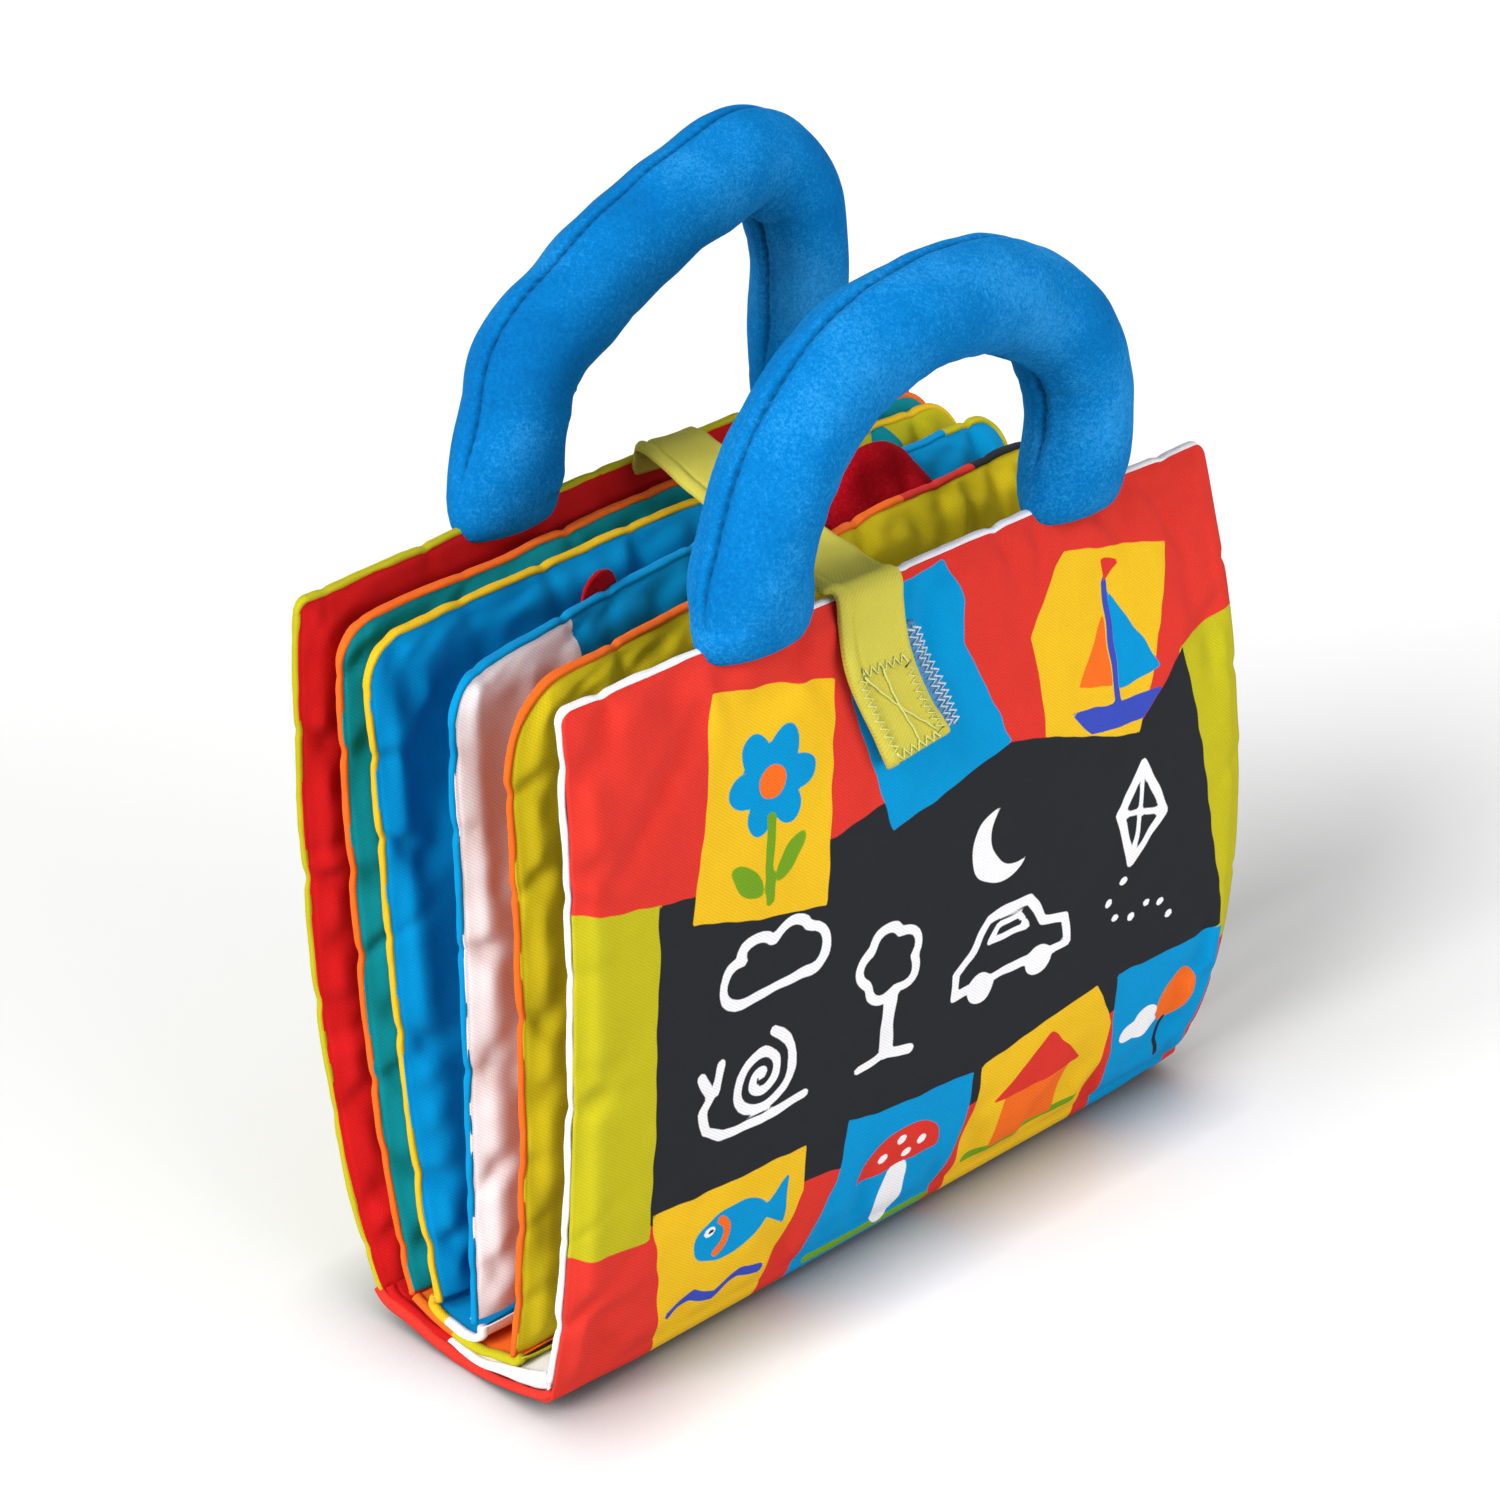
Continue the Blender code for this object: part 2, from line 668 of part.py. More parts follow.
def strap_band(name, positions, half, low, high, paint, carrier):
    slab(
        name,
        2,
        len(positions) - 1,
        lambda column, row: on_strap(positions[row], half * (column - 1), low),
        lambda column, row: on_strap(positions[row], half * (column - 1), high),
        paint,
        carrier,
    )


def strap_height(height):
    """The place on the route at a height over the strap's end."""
    z = STRAP_ROUTE[-1].z + height
    for at in range(STRAP_FACE_START, len(STRAP_ROUTE) - 1):
        high, low = STRAP_ROUTE[at].z, STRAP_ROUTE[at + 1].z
        if z >= low:
            return at + (high - z) / (high - low)
    return len(STRAP_ROUTE) - 1


def strap(cover_hinge):
    start = STRAP_ROUTE[1]
    carrier = hinge("closing_strap_hinge", start, cover_hinge)
    whole = list(range(len(STRAP_ROUTE)))
    paint = (STRAP_LIME, CLOTH_ROUGH)
    strap_band("closing_strap", whole, STRAP_WIDTH / 2, 0, STRAP_THICK, paint, carrier)
    last = strap_height(TAPE_INSET)
    first = strap_height(TAPE_INSET + HOOK_TAPE_HEIGHT)
    places = [first] + [at for at in whole if first < at < last] + [last]
    under = -SEAM_GAP - TAPE_THICK
    paint = (TAPE_BLUE, TAPE_ROUGH)
    half = HOOK_TAPE_WIDTH / 2
    strap_band("closing_strap_hook_tape", places, half, under, -SEAM_GAP, paint, carrier)
    box_stitching(carrier)
    return carrier


def box_stitching(carrier):
    """The zigzag box of thread that holds the hook tape, left open where it starts."""
    half = STRAP_WIDTH / 2 - BOX_STITCH_INSET
    tall = BOX_STITCH_HEIGHT
    base = BOX_STITCH_INSET
    corners = [(0, base), (half, base), (half, base + tall), (-half, base + tall)]
    corners += [(-half, base), (-THREAD_RADIUS * 4, base)]
    lift = STRAP_THICK + SEAM_GAP + 2 * THREAD_RADIUS
    points = []
    for (x0, h0), (x1, h1) in zip(corners, corners[1:]):
        length = math.hypot(x1 - x0, h1 - h0)
        steps = max(2, 2 * round(length / BOX_STITCH_PITCH))
        side = ((h1 - h0) / length, (x0 - x1) / length)
        for step in range(steps):
            share = step / steps
            swing = BOX_STITCH_WIDTH / 2 * (step % 2)
            aside = x0 + share * (x1 - x0) - side[0] * swing
            height = h0 + share * (h1 - h0) - side[1] * swing
            points.append(on_strap(strap_height(height), aside, lift))
    thread("closing_strap_stitching", points, STRAP_LIME, carrier)


def loop_tape(carrier):
    """The soft tape on the front cover that the strap's hooks hold."""
    top = top_z(FRONT_COVER) - STRAP_DROP + LOOP_TAPE_HEIGHT

    def point(column, row, out):
        down = LOOP_TAPE_HEIGHT * row / LOOP_TAPE_STEPS
        x = LOOP_TAPE_X + LOOP_TAPE_WIDTH * (column / LOOP_TAPE_STEPS - 1 / 2)
        x += LOOP_TAPE_SLANT * (down - LOOP_TAPE_HEIGHT / 2)
        z = top - down
        return Vector((x, face_y(FRONT_COVER, x, z, -1) - out, z))

    slab(
        "loop_tape",
        LOOP_TAPE_STEPS,
        LOOP_TAPE_STEPS,
        lambda column, row: point(column, row, SEAM_GAP + TAPE_THICK),
        lambda column, row: point(column, row, SEAM_GAP),
        (TAPE_BLUE, TAPE_ROUGH),
        carrier,
    )


def velour_pad(carrier):
    """A round stuffed velour pad on page 2, which stands a little over the page's top."""
    mesh = bmesh.new()
    bmesh.ops.create_uvsphere(mesh, u_segments=PAD_AROUND, v_segments=PAD_RINGS, radius=1)
    origin = carrier.matrix_world.translation
    centre_z = top_z(PAGE_2) + PAD_RISE - PAD_RADIUS
    for vertex in mesh.verts:
        x = PAD_X + PAD_RADIUS * vertex.co.x
        z = centre_z + PAD_RADIUS * vertex.co.y
        out = SEAM_GAP + PAD_THICK / 2 * (1 + vertex.co.z)
        vertex.co = Vector((x, face_y(PAGE_2, x, z, -1) - out, z)) - origin
    made = finish_mesh("velour_pad", mesh, (DARK_RED, PLUSH_ROUGH), carrier)
    for face in made.data.polygons:
        face.use_smooth = True


def ribbon_tab(carrier):
    """A small ribbon tab behind page 2, with its rounded end over the page's top."""

    def point(column, row, out):
        share = row / TAB_ROWS
        half = TAB_WIDTH / 2 * math.sqrt(1 - (share * share) ** 2 / 2)
        x = TAB_X + half * (column - 1)
        z = top_z(PAGE_2) + TAB_RISE - TAB_HEIGHT * (1 - share)
        return Vector((x, face_y(PAGE_2, x, z, 1) + out, z))

    slab(
        "ribbon_tab",
        2,
        TAB_ROWS,
        lambda column, row: point(column, row, SEAM_GAP),
        lambda column, row: point(column, row, SEAM_GAP + TAB_THICK),
        (DARK_RED, CLOTH_ROUGH),
        carrier,
    )


def build():
    spine_carrier = hinge("spine", Vector())
    spine(spine_carrier)
    strip_z = SPINE_THICK + SEAM_GAP
    colours = (LIME, ORANGE)
    fold_strips("outer_fold", PAGE_1, PAGE_4, strip_z, colours, spine_carrier)
    strip_z += STRIP_THICK + SEAM_GAP
    colours = (YELLOW, BLUE)
    fold_strips("inner_fold", PAGE_2, PAGE_3, strip_z, colours, spine_carrier)
    spine_stitching(spine_carrier)
    carriers = {leaf.name: leaf_body(leaf) for leaf in LEAVES}
    front, back = carriers["front_cover"], carriers["back_cover"]
    rise, shares = FRONT_HANDLE_RISE, FRONT_ARCH_SHARES
    swings = [handle("front_handle", FRONT_COVER, FRONT_HANDLE_X, rise, shares, front)]
    rise, shares = BACK_HANDLE_RISE, BACK_ARCH_SHARES
    swings.append(handle("back_handle", BACK_COVER, BACK_HANDLE_X, rise, shares, back))
    swings.append(strap(back))
    loop_tape(front)
    velour_pad(carriers["page_2"])
    ribbon_tab(carriers["page_2"])
    bpy.context.view_layer.update()
    for empty in [*carriers.values(), *swings]:
        place = empty.matrix_world.translation / MM
        print(empty.name, " ".join(f"{value:.3f}" for value in place), "mm")


build()
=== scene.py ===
"""Padded cloth activity book with stuffed velour handles, standing fanned open on its spine.

Shapes are worked out in millimetres on two-parameter grids and stored in metres. X runs along
the spine, the front cover faces -Y, +Z is up. A leaf is a printed front cloth, a back cloth
and the rolled rim where the back cloth is turned over the edge.
"""

import math
from typing import NamedTuple

import bpy
import numpy as np
from mathutils import Matrix, Vector
from mathutils.bvhtree import BVHTree


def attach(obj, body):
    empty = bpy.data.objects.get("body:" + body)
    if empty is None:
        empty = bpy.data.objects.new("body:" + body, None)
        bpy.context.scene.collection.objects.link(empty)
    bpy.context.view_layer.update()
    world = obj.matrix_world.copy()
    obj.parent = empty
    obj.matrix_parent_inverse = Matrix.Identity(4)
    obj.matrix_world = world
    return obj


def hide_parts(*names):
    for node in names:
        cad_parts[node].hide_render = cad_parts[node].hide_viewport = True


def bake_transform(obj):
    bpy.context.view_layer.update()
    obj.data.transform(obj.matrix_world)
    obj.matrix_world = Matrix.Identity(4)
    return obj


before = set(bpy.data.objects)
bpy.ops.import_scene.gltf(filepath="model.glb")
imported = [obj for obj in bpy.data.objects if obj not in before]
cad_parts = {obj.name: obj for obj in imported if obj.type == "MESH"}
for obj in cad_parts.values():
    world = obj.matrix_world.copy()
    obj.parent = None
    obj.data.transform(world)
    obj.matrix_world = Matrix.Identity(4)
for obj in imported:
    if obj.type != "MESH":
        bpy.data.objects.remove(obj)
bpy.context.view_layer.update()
MM = 0.001
PI = math.pi

# Cloth colours as the photographed book shows them
RED = "#D6362C"
# A deeper red for the linings inside the book: partly their own cloth and partly painted shade of the inner
# faces.
LINING_RED_WITH_SHADE = "#C4191A"
LIME = "#BBB21E"
# Page 1's lime: partly its own warmer cloth and partly a painted reflection of warm light from the cloths
# nearby.
LIME_WARMED_BY_BOUNCE = "#CDB61A"
BLACK = "#26282C"
YELLOW = "#E8B922"
SKY = "#0090CC"
TEAL = "#0A8894"
ORANGE = "#F06C22"
WHITE = "#F0EFF2"
VIOLET = "#3A4CB4"
LEAF_GREEN = "#6F9C22"
PLUSH = "#0674BA"
WINE = "#A40A16"
STRAP_LIME = "#C8BE4C"
TAPE_BLUE = "#2488CE"


class Leaf(NamedTuple):
    """A leaf's place from the front and its outline, the rim that shows round its faces and
    the half thickness where a face meets the rim, all in millimetres."""

    name: str
    place: int
    width: float
    height: float
    fold_z: float
    corner: float
    rim: float = 1.6
    tuck: float = 0.7


FRONT_COVER = Leaf("front_cover", 0, 252, 190, 9, 4, 1.5, 1.05)
PAGE_1 = Leaf("page_1", 1, 244, 182.5, 10.5, 24)
PAGE_2 = Leaf("page_2", 2, 244, 178.5, 13.5, 13)
PAGE_3 = Leaf("page_3", 3, 244, 178.5, 13.5, 13)
PAGE_4 = Leaf("page_4", 4, 244, 182.5, 10.5, 13)
BACK_COVER = Leaf("back_cover", 5, 252, 190, 9, 4)

LEAF_THICK = 7.8
EDGE_THICK = 3.8
SEAM_THICK = 0.35
SIDE_DRAW = 1.5
BELLY_POWER = 0.85
OPEN_GAP = 30
# The rim's middle in from the outline, its half width and half depth, and how far a face runs
# on under it
RIM_INSET = 1.05
RIM_HALF_WIDE = 0.95
RIM_HALF_DEEP = 1.35
FACE_OVERLAP = 0.7
# How far a dent of unit depth draws the cloth along its seam and in from it
DRAW_ALONG_SHARE = 0.45
DRAW_IN_SHARE = 0.35
# The fanned gap before each leaf after the front cover, as shares of the open gap: rows at the fold, half way
# up and at the top, each from left to right
GAP_SHARES = np.array(
    (
        ((0.34, 0.34, 0.34), (0.47, 0.80, 1.24), (0.54, 1.04, 1.44)),
        ((0.24, 0.24, 0.24), (0.44, 0.40, 0.37), (0.31, 0.64, 0.51)),
        ((0.21, 0.21, 0.21), (0.67, 0.45, 0.27), (0.81, 0.44, 0.34)),
        ((0.10, 0.10, 0.10), (0.17, 0.13, 0.11), (0.06, 0.06, 0.06)),
        ((0.01, 0.01, 0.01), (0.21, 0.14, 0.08), (0.11, 0.06, 0.11)),
    )
)
LEAN_SHARES = np.array(((0, 0, 0), (-0.047, -0.053, -0.095), (-0.047, -0.016, 0.022)))
SPINE_HALF = 33.0


def parabola(at, low, middle, high):
    """low at -1, middle at 0 and high at 1."""
    return low * at * (at - 1) / 2 + middle * (1 - at * at) + high * at * (at + 1) / 2


def spread(rows, across, up):
    """The product of two parabolas: across from side to side, up from fold to top."""
    return parabola(2 * up - 1, *(parabola(across, *row) for row in rows))


def middle_y(leaf, x, z):
    """The front cover's lean, plus a leaf's thickness and a fanned gap for each leaf before,
    with the height share raised to a power below one so that leaves belly out over the fold."""
    across = np.clip(2 * x / FRONT_COVER.width, -1, 1)
    up = np.clip((z - leaf.fold_z) / FRONT_COVER.height, 0, 1) ** BELLY_POWER
    y = FRONT_COVER.height * spread(LEAN_SHARES, across, up) - SPINE_HALF
    for rows in GAP_SHARES[: leaf.place]:
        y = y + LEAF_THICK + OPEN_GAP * spread(rows, across, up)
    return y


def slack_y(leaf, x, z):
    """The middle surface with the slow waves of soft wadding, still at the fold."""
    up = np.clip((z - leaf.fold_z) / leaf.height, 0, 1)
    waves = ripples(x, 0.7 * z, 85, 500 + leaf.place) + 0.5 * ripples(x, z, 34, 510 + leaf.place)
    return middle_y(leaf, x, z) + 0.7 * up * waves


def ripples(u, v, length, seed, count=9):
    """Smooth noise from -1 to 1: a sum of plane waves about one length long, in all directions."""
    rng = np.random.default_rng(seed)
    total = 0
    for _ in range(count):
        turn, phase = rng.uniform(0, 2 * PI, 2)
        wave = 2 * PI / (length * rng.uniform(0.7, 1.5))
        total = total + np.cos(wave * (u * math.cos(turn) + v * math.sin(turn)) + phase)
    return total / (1.6 * math.sqrt(count))


def ripple_line(along, length, seed):
    """Smooth noise along a line."""
    return ripples(along, 0 * along, length, seed)


def bell(at):
    """One at zero and falling off on both sides, as exp of minus the square."""
    return np.exp(-(at**2))


def smooth(at, low, high):
    """A step from 0 at low to 1 at high with level ends."""
    share = np.clip((at - low) / (high - low), 0, 1)
    return share * share * (3 - 2 * share)


def linear(hex_colour):
    """An sRGB hex colour as linear red, green, blue and alpha."""
    values = [int(hex_colour[i : i + 2], 16) / 255 for i in (1, 3, 5)]
    return [v / 12.92 if v <= 0.04045 else ((v + 0.055) / 1.055) ** 2.4 for v in values] + [1]


def unit(vectors):
    return vectors / np.maximum(np.linalg.norm(vectors, axis=-1, keepdims=True), 1e-9)


def run_length(path):
    """The distance along a path to each of its points."""
    return np.concatenate([[0], np.cumsum(np.linalg.norm(np.diff(path, axis=0), axis=1))])


def full_turn(count):
    """Angles that share out one turn."""
    return np.linspace(0, 2 * PI, count, endpoint=False)


# Meshes


def mesh_piece(name, points, faces, coats, uv=None, fields=None):
    """An object from points in millimetres, quads, a weave map in millimetres and its fields."""
    data = bpy.data.meshes.new(name)
    data.from_pydata((points.reshape(-1, 3) * MM).tolist(), [], list(faces))
    data.update()
    if uv is not None:
        layer = data.uv_layers.new(name="weave")
        corners = np.empty(len(data.loops), np.int32)
        data.loops.foreach_get("vertex_index", corners)
        layer.data.foreach_set("uv", uv.reshape(-1, 2)[corners].ravel().astype(np.float32))
    for field, values in (fields or {}).items():
        attribute = data.attributes.new(field, "FLOAT", "POINT")
        attribute.data.foreach_set("value", values.ravel().astype(np.float32))
    data.polygons.foreach_set("use_smooth", np.ones(len(data.polygons), bool))
    made = bpy.data.objects.new(name, data)
    bpy.context.scene.collection.objects.link(made)
    for coat in coats if isinstance(coats, (list, tuple)) else [coats]:
        data.materials.append(coat)
    return made


def grid_faces(rows, columns, around=False, flip=False):
    """Quads of a grid of points, closed round its columns where asked."""
    index = np.arange(rows * columns).reshape(rows, columns)
    if around:
        index = np.hstack([index, index[:, :1]])
    corners = [index[:-1, :-1], index[:-1, 1:], index[1:, 1:], index[1:, :-1]]
    faces = np.stack(corners, -1).reshape(-1, 4)
    return faces[:, ::-1] if flip else faces


def cloth_piece(name, points, uv, coat, thick=0.5, flip=False, fields=None):
    """A sheet on a grid of points, given its cloth's thickness on the inner side."""
    rows, columns = points.shape[:2]
    made = mesh_piece(name, points, grid_faces(rows, columns, flip=flip).tolist(), coat, uv, fields)
    solid = made.modifiers.new("cloth", "SOLIDIFY")
    solid.thickness = thick * MM
    solid.offset = -1
    return made


def signed_volume(points, faces):
    """The sum of each face's fan of triangles, a sixth of the corners' triple product each:
    positive where the faces of a closed mesh point outwards."""
    start = points[faces[:, 0]]
    pairs = zip(faces.T[1:], faces.T[2:])
    return sum(np.sum(start * np.cross(points[second], points[third])) for second, third in pairs) / 6


def tube_piece(name, points, uv, coat, fields=None):
    """A closed tube through rings of points, each end drawn to its ring's middle and every face
    turned outwards."""
    rows, turns = points.shape[:2]
    flat = np.vstack([points.reshape(-1, 3), points[0].mean(0)[None], points[-1].mean(0)[None]])
    turn = np.arange(turns)
    after = np.roll(turn, -1)
    first, last, base = rows * turns, rows * turns + 1, (rows - 1) * turns
    sides = grid_faces(rows, turns, around=True)
    near_end = np.stack([after, turn, np.full(turns, first)], -1)
    far_end = np.stack([base + turn, base + after, np.full(turns, last)], -1)
    ends = np.vstack([near_end, far_end])
    if signed_volume(flat, sides) + signed_volume(flat, ends) < 0:
        sides, ends = sides[:, ::-1], ends[:, ::-1]
    faces = sides.tolist() + ends.tolist()
    wide = np.vstack([uv.reshape(-1, 2), uv[0, :1], uv[-1, :1]])
    extra = {}
    for field, values in (fields or {}).items():
        extra[field] = np.concatenate([values.ravel(), values[0, :1], values[-1, :1]])
    return mesh_piece(name, flat, faces, coat, wide, extra)


def oval_rings(path, angle, aside, half_aside, out, half_out):
    """Rings round a path: each point lies off it by the angle's cosine along one direction and
    by its sine along the other, times the ring's half sizes."""
    wide = (np.cos(angle) * np.reshape(half_aside, (-1, 1)))[..., None]
    deep = (np.sin(angle) * np.reshape(half_out, (-1, 1)))[..., None]
    return path[:, None] + np.reshape(aside, (-1, 1, 3)) * wide + np.reshape(out, (-1, 1, 3)) * deep


def tube_weave(angle, radius, length):
    """A tube's weave map: the way round it and the way along it, in millimetres."""
    return np.stack(np.broadcast_arrays(angle[None] * radius, length[:, None]), -1)


def thread_piece(name, path, radius, coat, up=(0, 0, 1)):
    """A thread of one radius along a path, its six-sided section turned square to the run."""
    run = unit(np.gradient(path, axis=0))
    side = unit(np.cross(run, np.broadcast_to(up, run.shape)))
    angle = full_turn(6)
    points = oval_rings(path, angle, side, radius, np.cross(side, run), radius)
    return tube_piece(name, points, tube_weave(angle, radius, run_length(path)), coat)


# Materials


def start_material(name):
    made = bpy.data.materials.new(name)
    made.use_nodes = True
    return made, made.node_tree, made.node_tree.nodes["Principled BSDF"]


def add(tree, kind, settings=None, **sockets):
    """A node with its settings; each socket takes a value or another node's output."""
    node = tree.nodes.new("ShaderNode" + kind)
    for key, value in (settings or {}).items():
        setattr(node, key, value)
    for key, value in sockets.items():
        place = int(key[1:]) if key[1:].isdigit() else key.replace("_", " ")
        socket = node.inputs[place]
        if isinstance(value, bpy.types.NodeSocket):
            tree.links.new(value, socket)
        else:
            socket.default_value = value
    return node


def maths(tree, kind, *values, clamp=False):
    sockets = {f"i{at}": value for at, value in enumerate(values)}
    return add(tree, "Math", {"operation": kind, "use_clamp": clamp}, **sockets).outputs[0]


def noise(tree, place, scale, detail=2.0, rough=0.6, flat=True):
    settings = {"noise_dimensions": "2D" if flat else "3D"}
    made = add(tree, "TexNoise", settings, Vector=place, Scale=scale, Detail=detail, Roughness=rough)
    return made.outputs[0]


def weave_map(tree):
    return add(tree, "UVMap", {"uv_map": "weave"}).outputs[0]


def field_value(tree, name):
    return add(tree, "Attribute", {"attribute_name": name}).outputs["Fac"]


def grey(tree, level):
    return add(tree, "CombineColor", i0=level, i1=level, i2=level).outputs[0]


def blend_colours(tree, share, first, second, kind="MIX"):
    settings = {"data_type": "RGBA", "blend_type": kind}
    return add(tree, "Mix", settings, i0=share, i6=first, i7=second).outputs[2]


def printed(tree, base, layers):
    """Each layer's colour laid over the last where its signed distance in mm is negative."""
    colour = linear(base)
    for field, ink in layers:
        share = maths(tree, "MULTIPLY_ADD", field_value(tree, field), -4.0, 0.5, clamp=True)
        colour = blend_colours(tree, share, colour, linear(ink))
    return colour


def cover(tree, shader, colour, relief, strength, depth):
    """The surface's colour, and its relief as a bump of a depth in millimetres."""
    tree.links.new(colour, shader.inputs["Base Color"])
    bump = add(tree, "Bump", None, Strength=strength, Distance=depth * MM, Height=relief)
    tree.links.new(bump.outputs[0], shader.inputs["Normal"])


def set_inputs(shader, rough, specular, sheen, sheen_rough=0.5):
    shader.inputs["Roughness"].default_value = rough
    shader.inputs["Specular IOR Level"].default_value = specular
    shader.inputs["Sheen Weight"].default_value = sheen
    shader.inputs["Sheen Roughness"].default_value = sheen_rough


# Threads of the twill are 0.3 mm on the real cloth; the ridges are drawn at 0.75 mm, as
# coarse as they need to be to show in a picture of the whole book.
TWILL_PITCH = 0.75


def cotton_twill(name, base, layers=(), pitch=TWILL_PITCH, depth=0.07):
    """Printed cotton twill: matt, broken diagonal ridges of fine threads and uneven ink."""
    made, tree, shader = start_material(name)
    uv = weave_map(tree)
    place = add(tree, "SeparateXYZ", i0=uv)
    u, v = place.outputs[0], place.outputs[1]
    ridge = 2 * PI / pitch
    fibre = noise(tree, uv, 1.7, 3.0, 0.7)
    uneven = noise(tree, uv, 0.09, 5.0, 0.6)
    along = maths(tree, "MULTIPLY_ADD", v, ridge * 0.79, maths(tree, "MULTIPLY", fibre, 3.2))
    diagonal = maths(tree, "MULTIPLY_ADD", u, ridge * 0.62, along)
    fall = maths(tree, "MULTIPLY", v, ridge * 0.72)
    thread = maths(tree, "SUBTRACT", maths(tree, "MULTIPLY", u, ridge * 1.1), fall)
    ribs = maths(tree, "MULTIPLY_ADD", maths(tree, "SINE", thread), 0.18, 0.5)
    height = maths(tree, "MULTIPLY_ADD", maths(tree, "SINE", diagonal), 0.32, ribs)
    colour = printed(tree, base, layers) if layers else linear(base)
    # The valleys between the ridges are painted darker, a painted shade of the weave's relief; the uneven ink
    # and the fibre noise vary the tone at random.
    light = maths(tree, "MULTIPLY_ADD", height, 0.20, 0.87)
    light = maths(tree, "MULTIPLY", light, maths(tree, "MULTIPLY_ADD", uneven, 0.12, 0.97))
    light = maths(tree, "MULTIPLY", light, maths(tree, "MULTIPLY_ADD", fibre, 0.24, 0.90))
    colour = blend_colours(tree, 1.0, colour, grey(tree, light), "MULTIPLY")
    relief = maths(tree, "MULTIPLY_ADD", fibre, 0.6, height)
    cover(tree, shader, colour, relief, 0.5, depth)
    set_inputs(shader, rough=0.88, specular=0.07, sheen=0.02)
    return made


def velour(name, base, shade, bright, seams=False):
    """Cut-pile velour: deep colour that pales a little where the pile leans, with a grain of
    tufts and a pale edge of fibres seen side on. Its seams are painted darker along the stitched
    groove where the pile is pulled in, a painted shade of the groove."""
    made, tree, shader = start_material(name)
    place = add(tree, "TexCoord").outputs["Object"]
    grain = noise(tree, place, 1500.0, 2.0, 0.7, flat=False)
    tufts = noise(tree, place, 760.0, 3.0, 0.75, flat=False)
    nap = noise(tree, place, 28.0, 3.0, 0.5, flat=False)
    mixed = maths(tree, "MULTIPLY_ADD", nap, 0.65, maths(tree, "MULTIPLY", tufts, 0.42))
    share = maths(tree, "MULTIPLY_ADD", grain, 0.4, maths(tree, "SUBTRACT", mixed, 0.235), clamp=True)
    ramp = add(tree, "ValToRGB", None, Fac=share)
    ramp.color_ramp.elements[0].position = 0.25
    ramp.color_ramp.elements[0].color = linear(shade)
    ramp.color_ramp.elements[1].position = 0.78
    ramp.color_ramp.elements[1].color = linear(bright)
    ramp.color_ramp.elements.new(0.5).color = linear(base)
    colour = ramp.outputs[0]
    if seams:
        # Painted shade: the colour darkens along the seam's groove.
        dark = maths(tree, "MULTIPLY_ADD", field_value(tree, "seam"), -0.6, 1.0)
        colour = blend_colours(tree, 1.0, colour, grey(tree, dark), "MULTIPLY")
    cover(tree, shader, colour, maths(tree, "MULTIPLY_ADD", grain, 0.5, tufts), 0.65, 0.35)
    set_inputs(shader, rough=0.95, specular=0.04, sheen=0.50, sheen_rough=0.30)
    shader.inputs["Sheen Tint"].default_value = linear(bright)
    return made


def loop_pile(name, base, pale):
    """Knitted loop tape: rows of tiny loops, their paler speckle a painted highlight where the loops catch
    the light.
    """
    made, tree, shader = start_material(name)
    uv = weave_map(tree)
    cells = add(tree, "TexVoronoi", {"feature": "F1"}, Vector=uv, Scale=1.1, Randomness=0.8)
    loops = cells.outputs["Distance"]
    fuzz = noise(tree, uv, 2.6, 3.0)
    # The pale colour of the speckle is a painted highlight.
    share = maths(tree, "MULTIPLY_ADD", fuzz, 0.9, maths(tree, "MULTIPLY_ADD", loops, 0.7, -0.45), clamp=True)
    colour = blend_colours(tree, share, linear(base), linear(pale))
    cover(tree, shader, colour, maths(tree, "ADD", fuzz, loops), 0.9, 0.5)
    set_inputs(shader, rough=0.8, specular=0.2, sheen=0.25)
    return made


def sewing_thread(name, base):
    """Twisted polyester thread: a little gloss on a fine slanting twist."""
    made, tree, shader = start_material(name)
    uv = weave_map(tree)
    place = add(tree, "SeparateXYZ", i0=uv)
    slant = maths(tree, "ADD", place.outputs[0], place.outputs[1])
    twist = maths(tree, "SINE", maths(tree, "MULTIPLY", slant, 9.0))
    # The darker stripes along the twist are a painted shade of the grooves between the plies.
    dark = [value * 0.72 for value in linear(base)[:3]] + [1]
    share = maths(tree, "MULTIPLY_ADD", twist, 0.5, 0.5)
    tree.links.new(blend_colours(tree, share, dark, linear(base)), shader.inputs["Base Color"])
    set_inputs(shader, rough=0.55, specular=0.4, sheen=0.0)
    return made


# Cloth settling


SLACK_SHARE = 0.03
PRESSURE = 3.0
SETTLING_STEPS = 20
SETTLING_GRID = 6.0


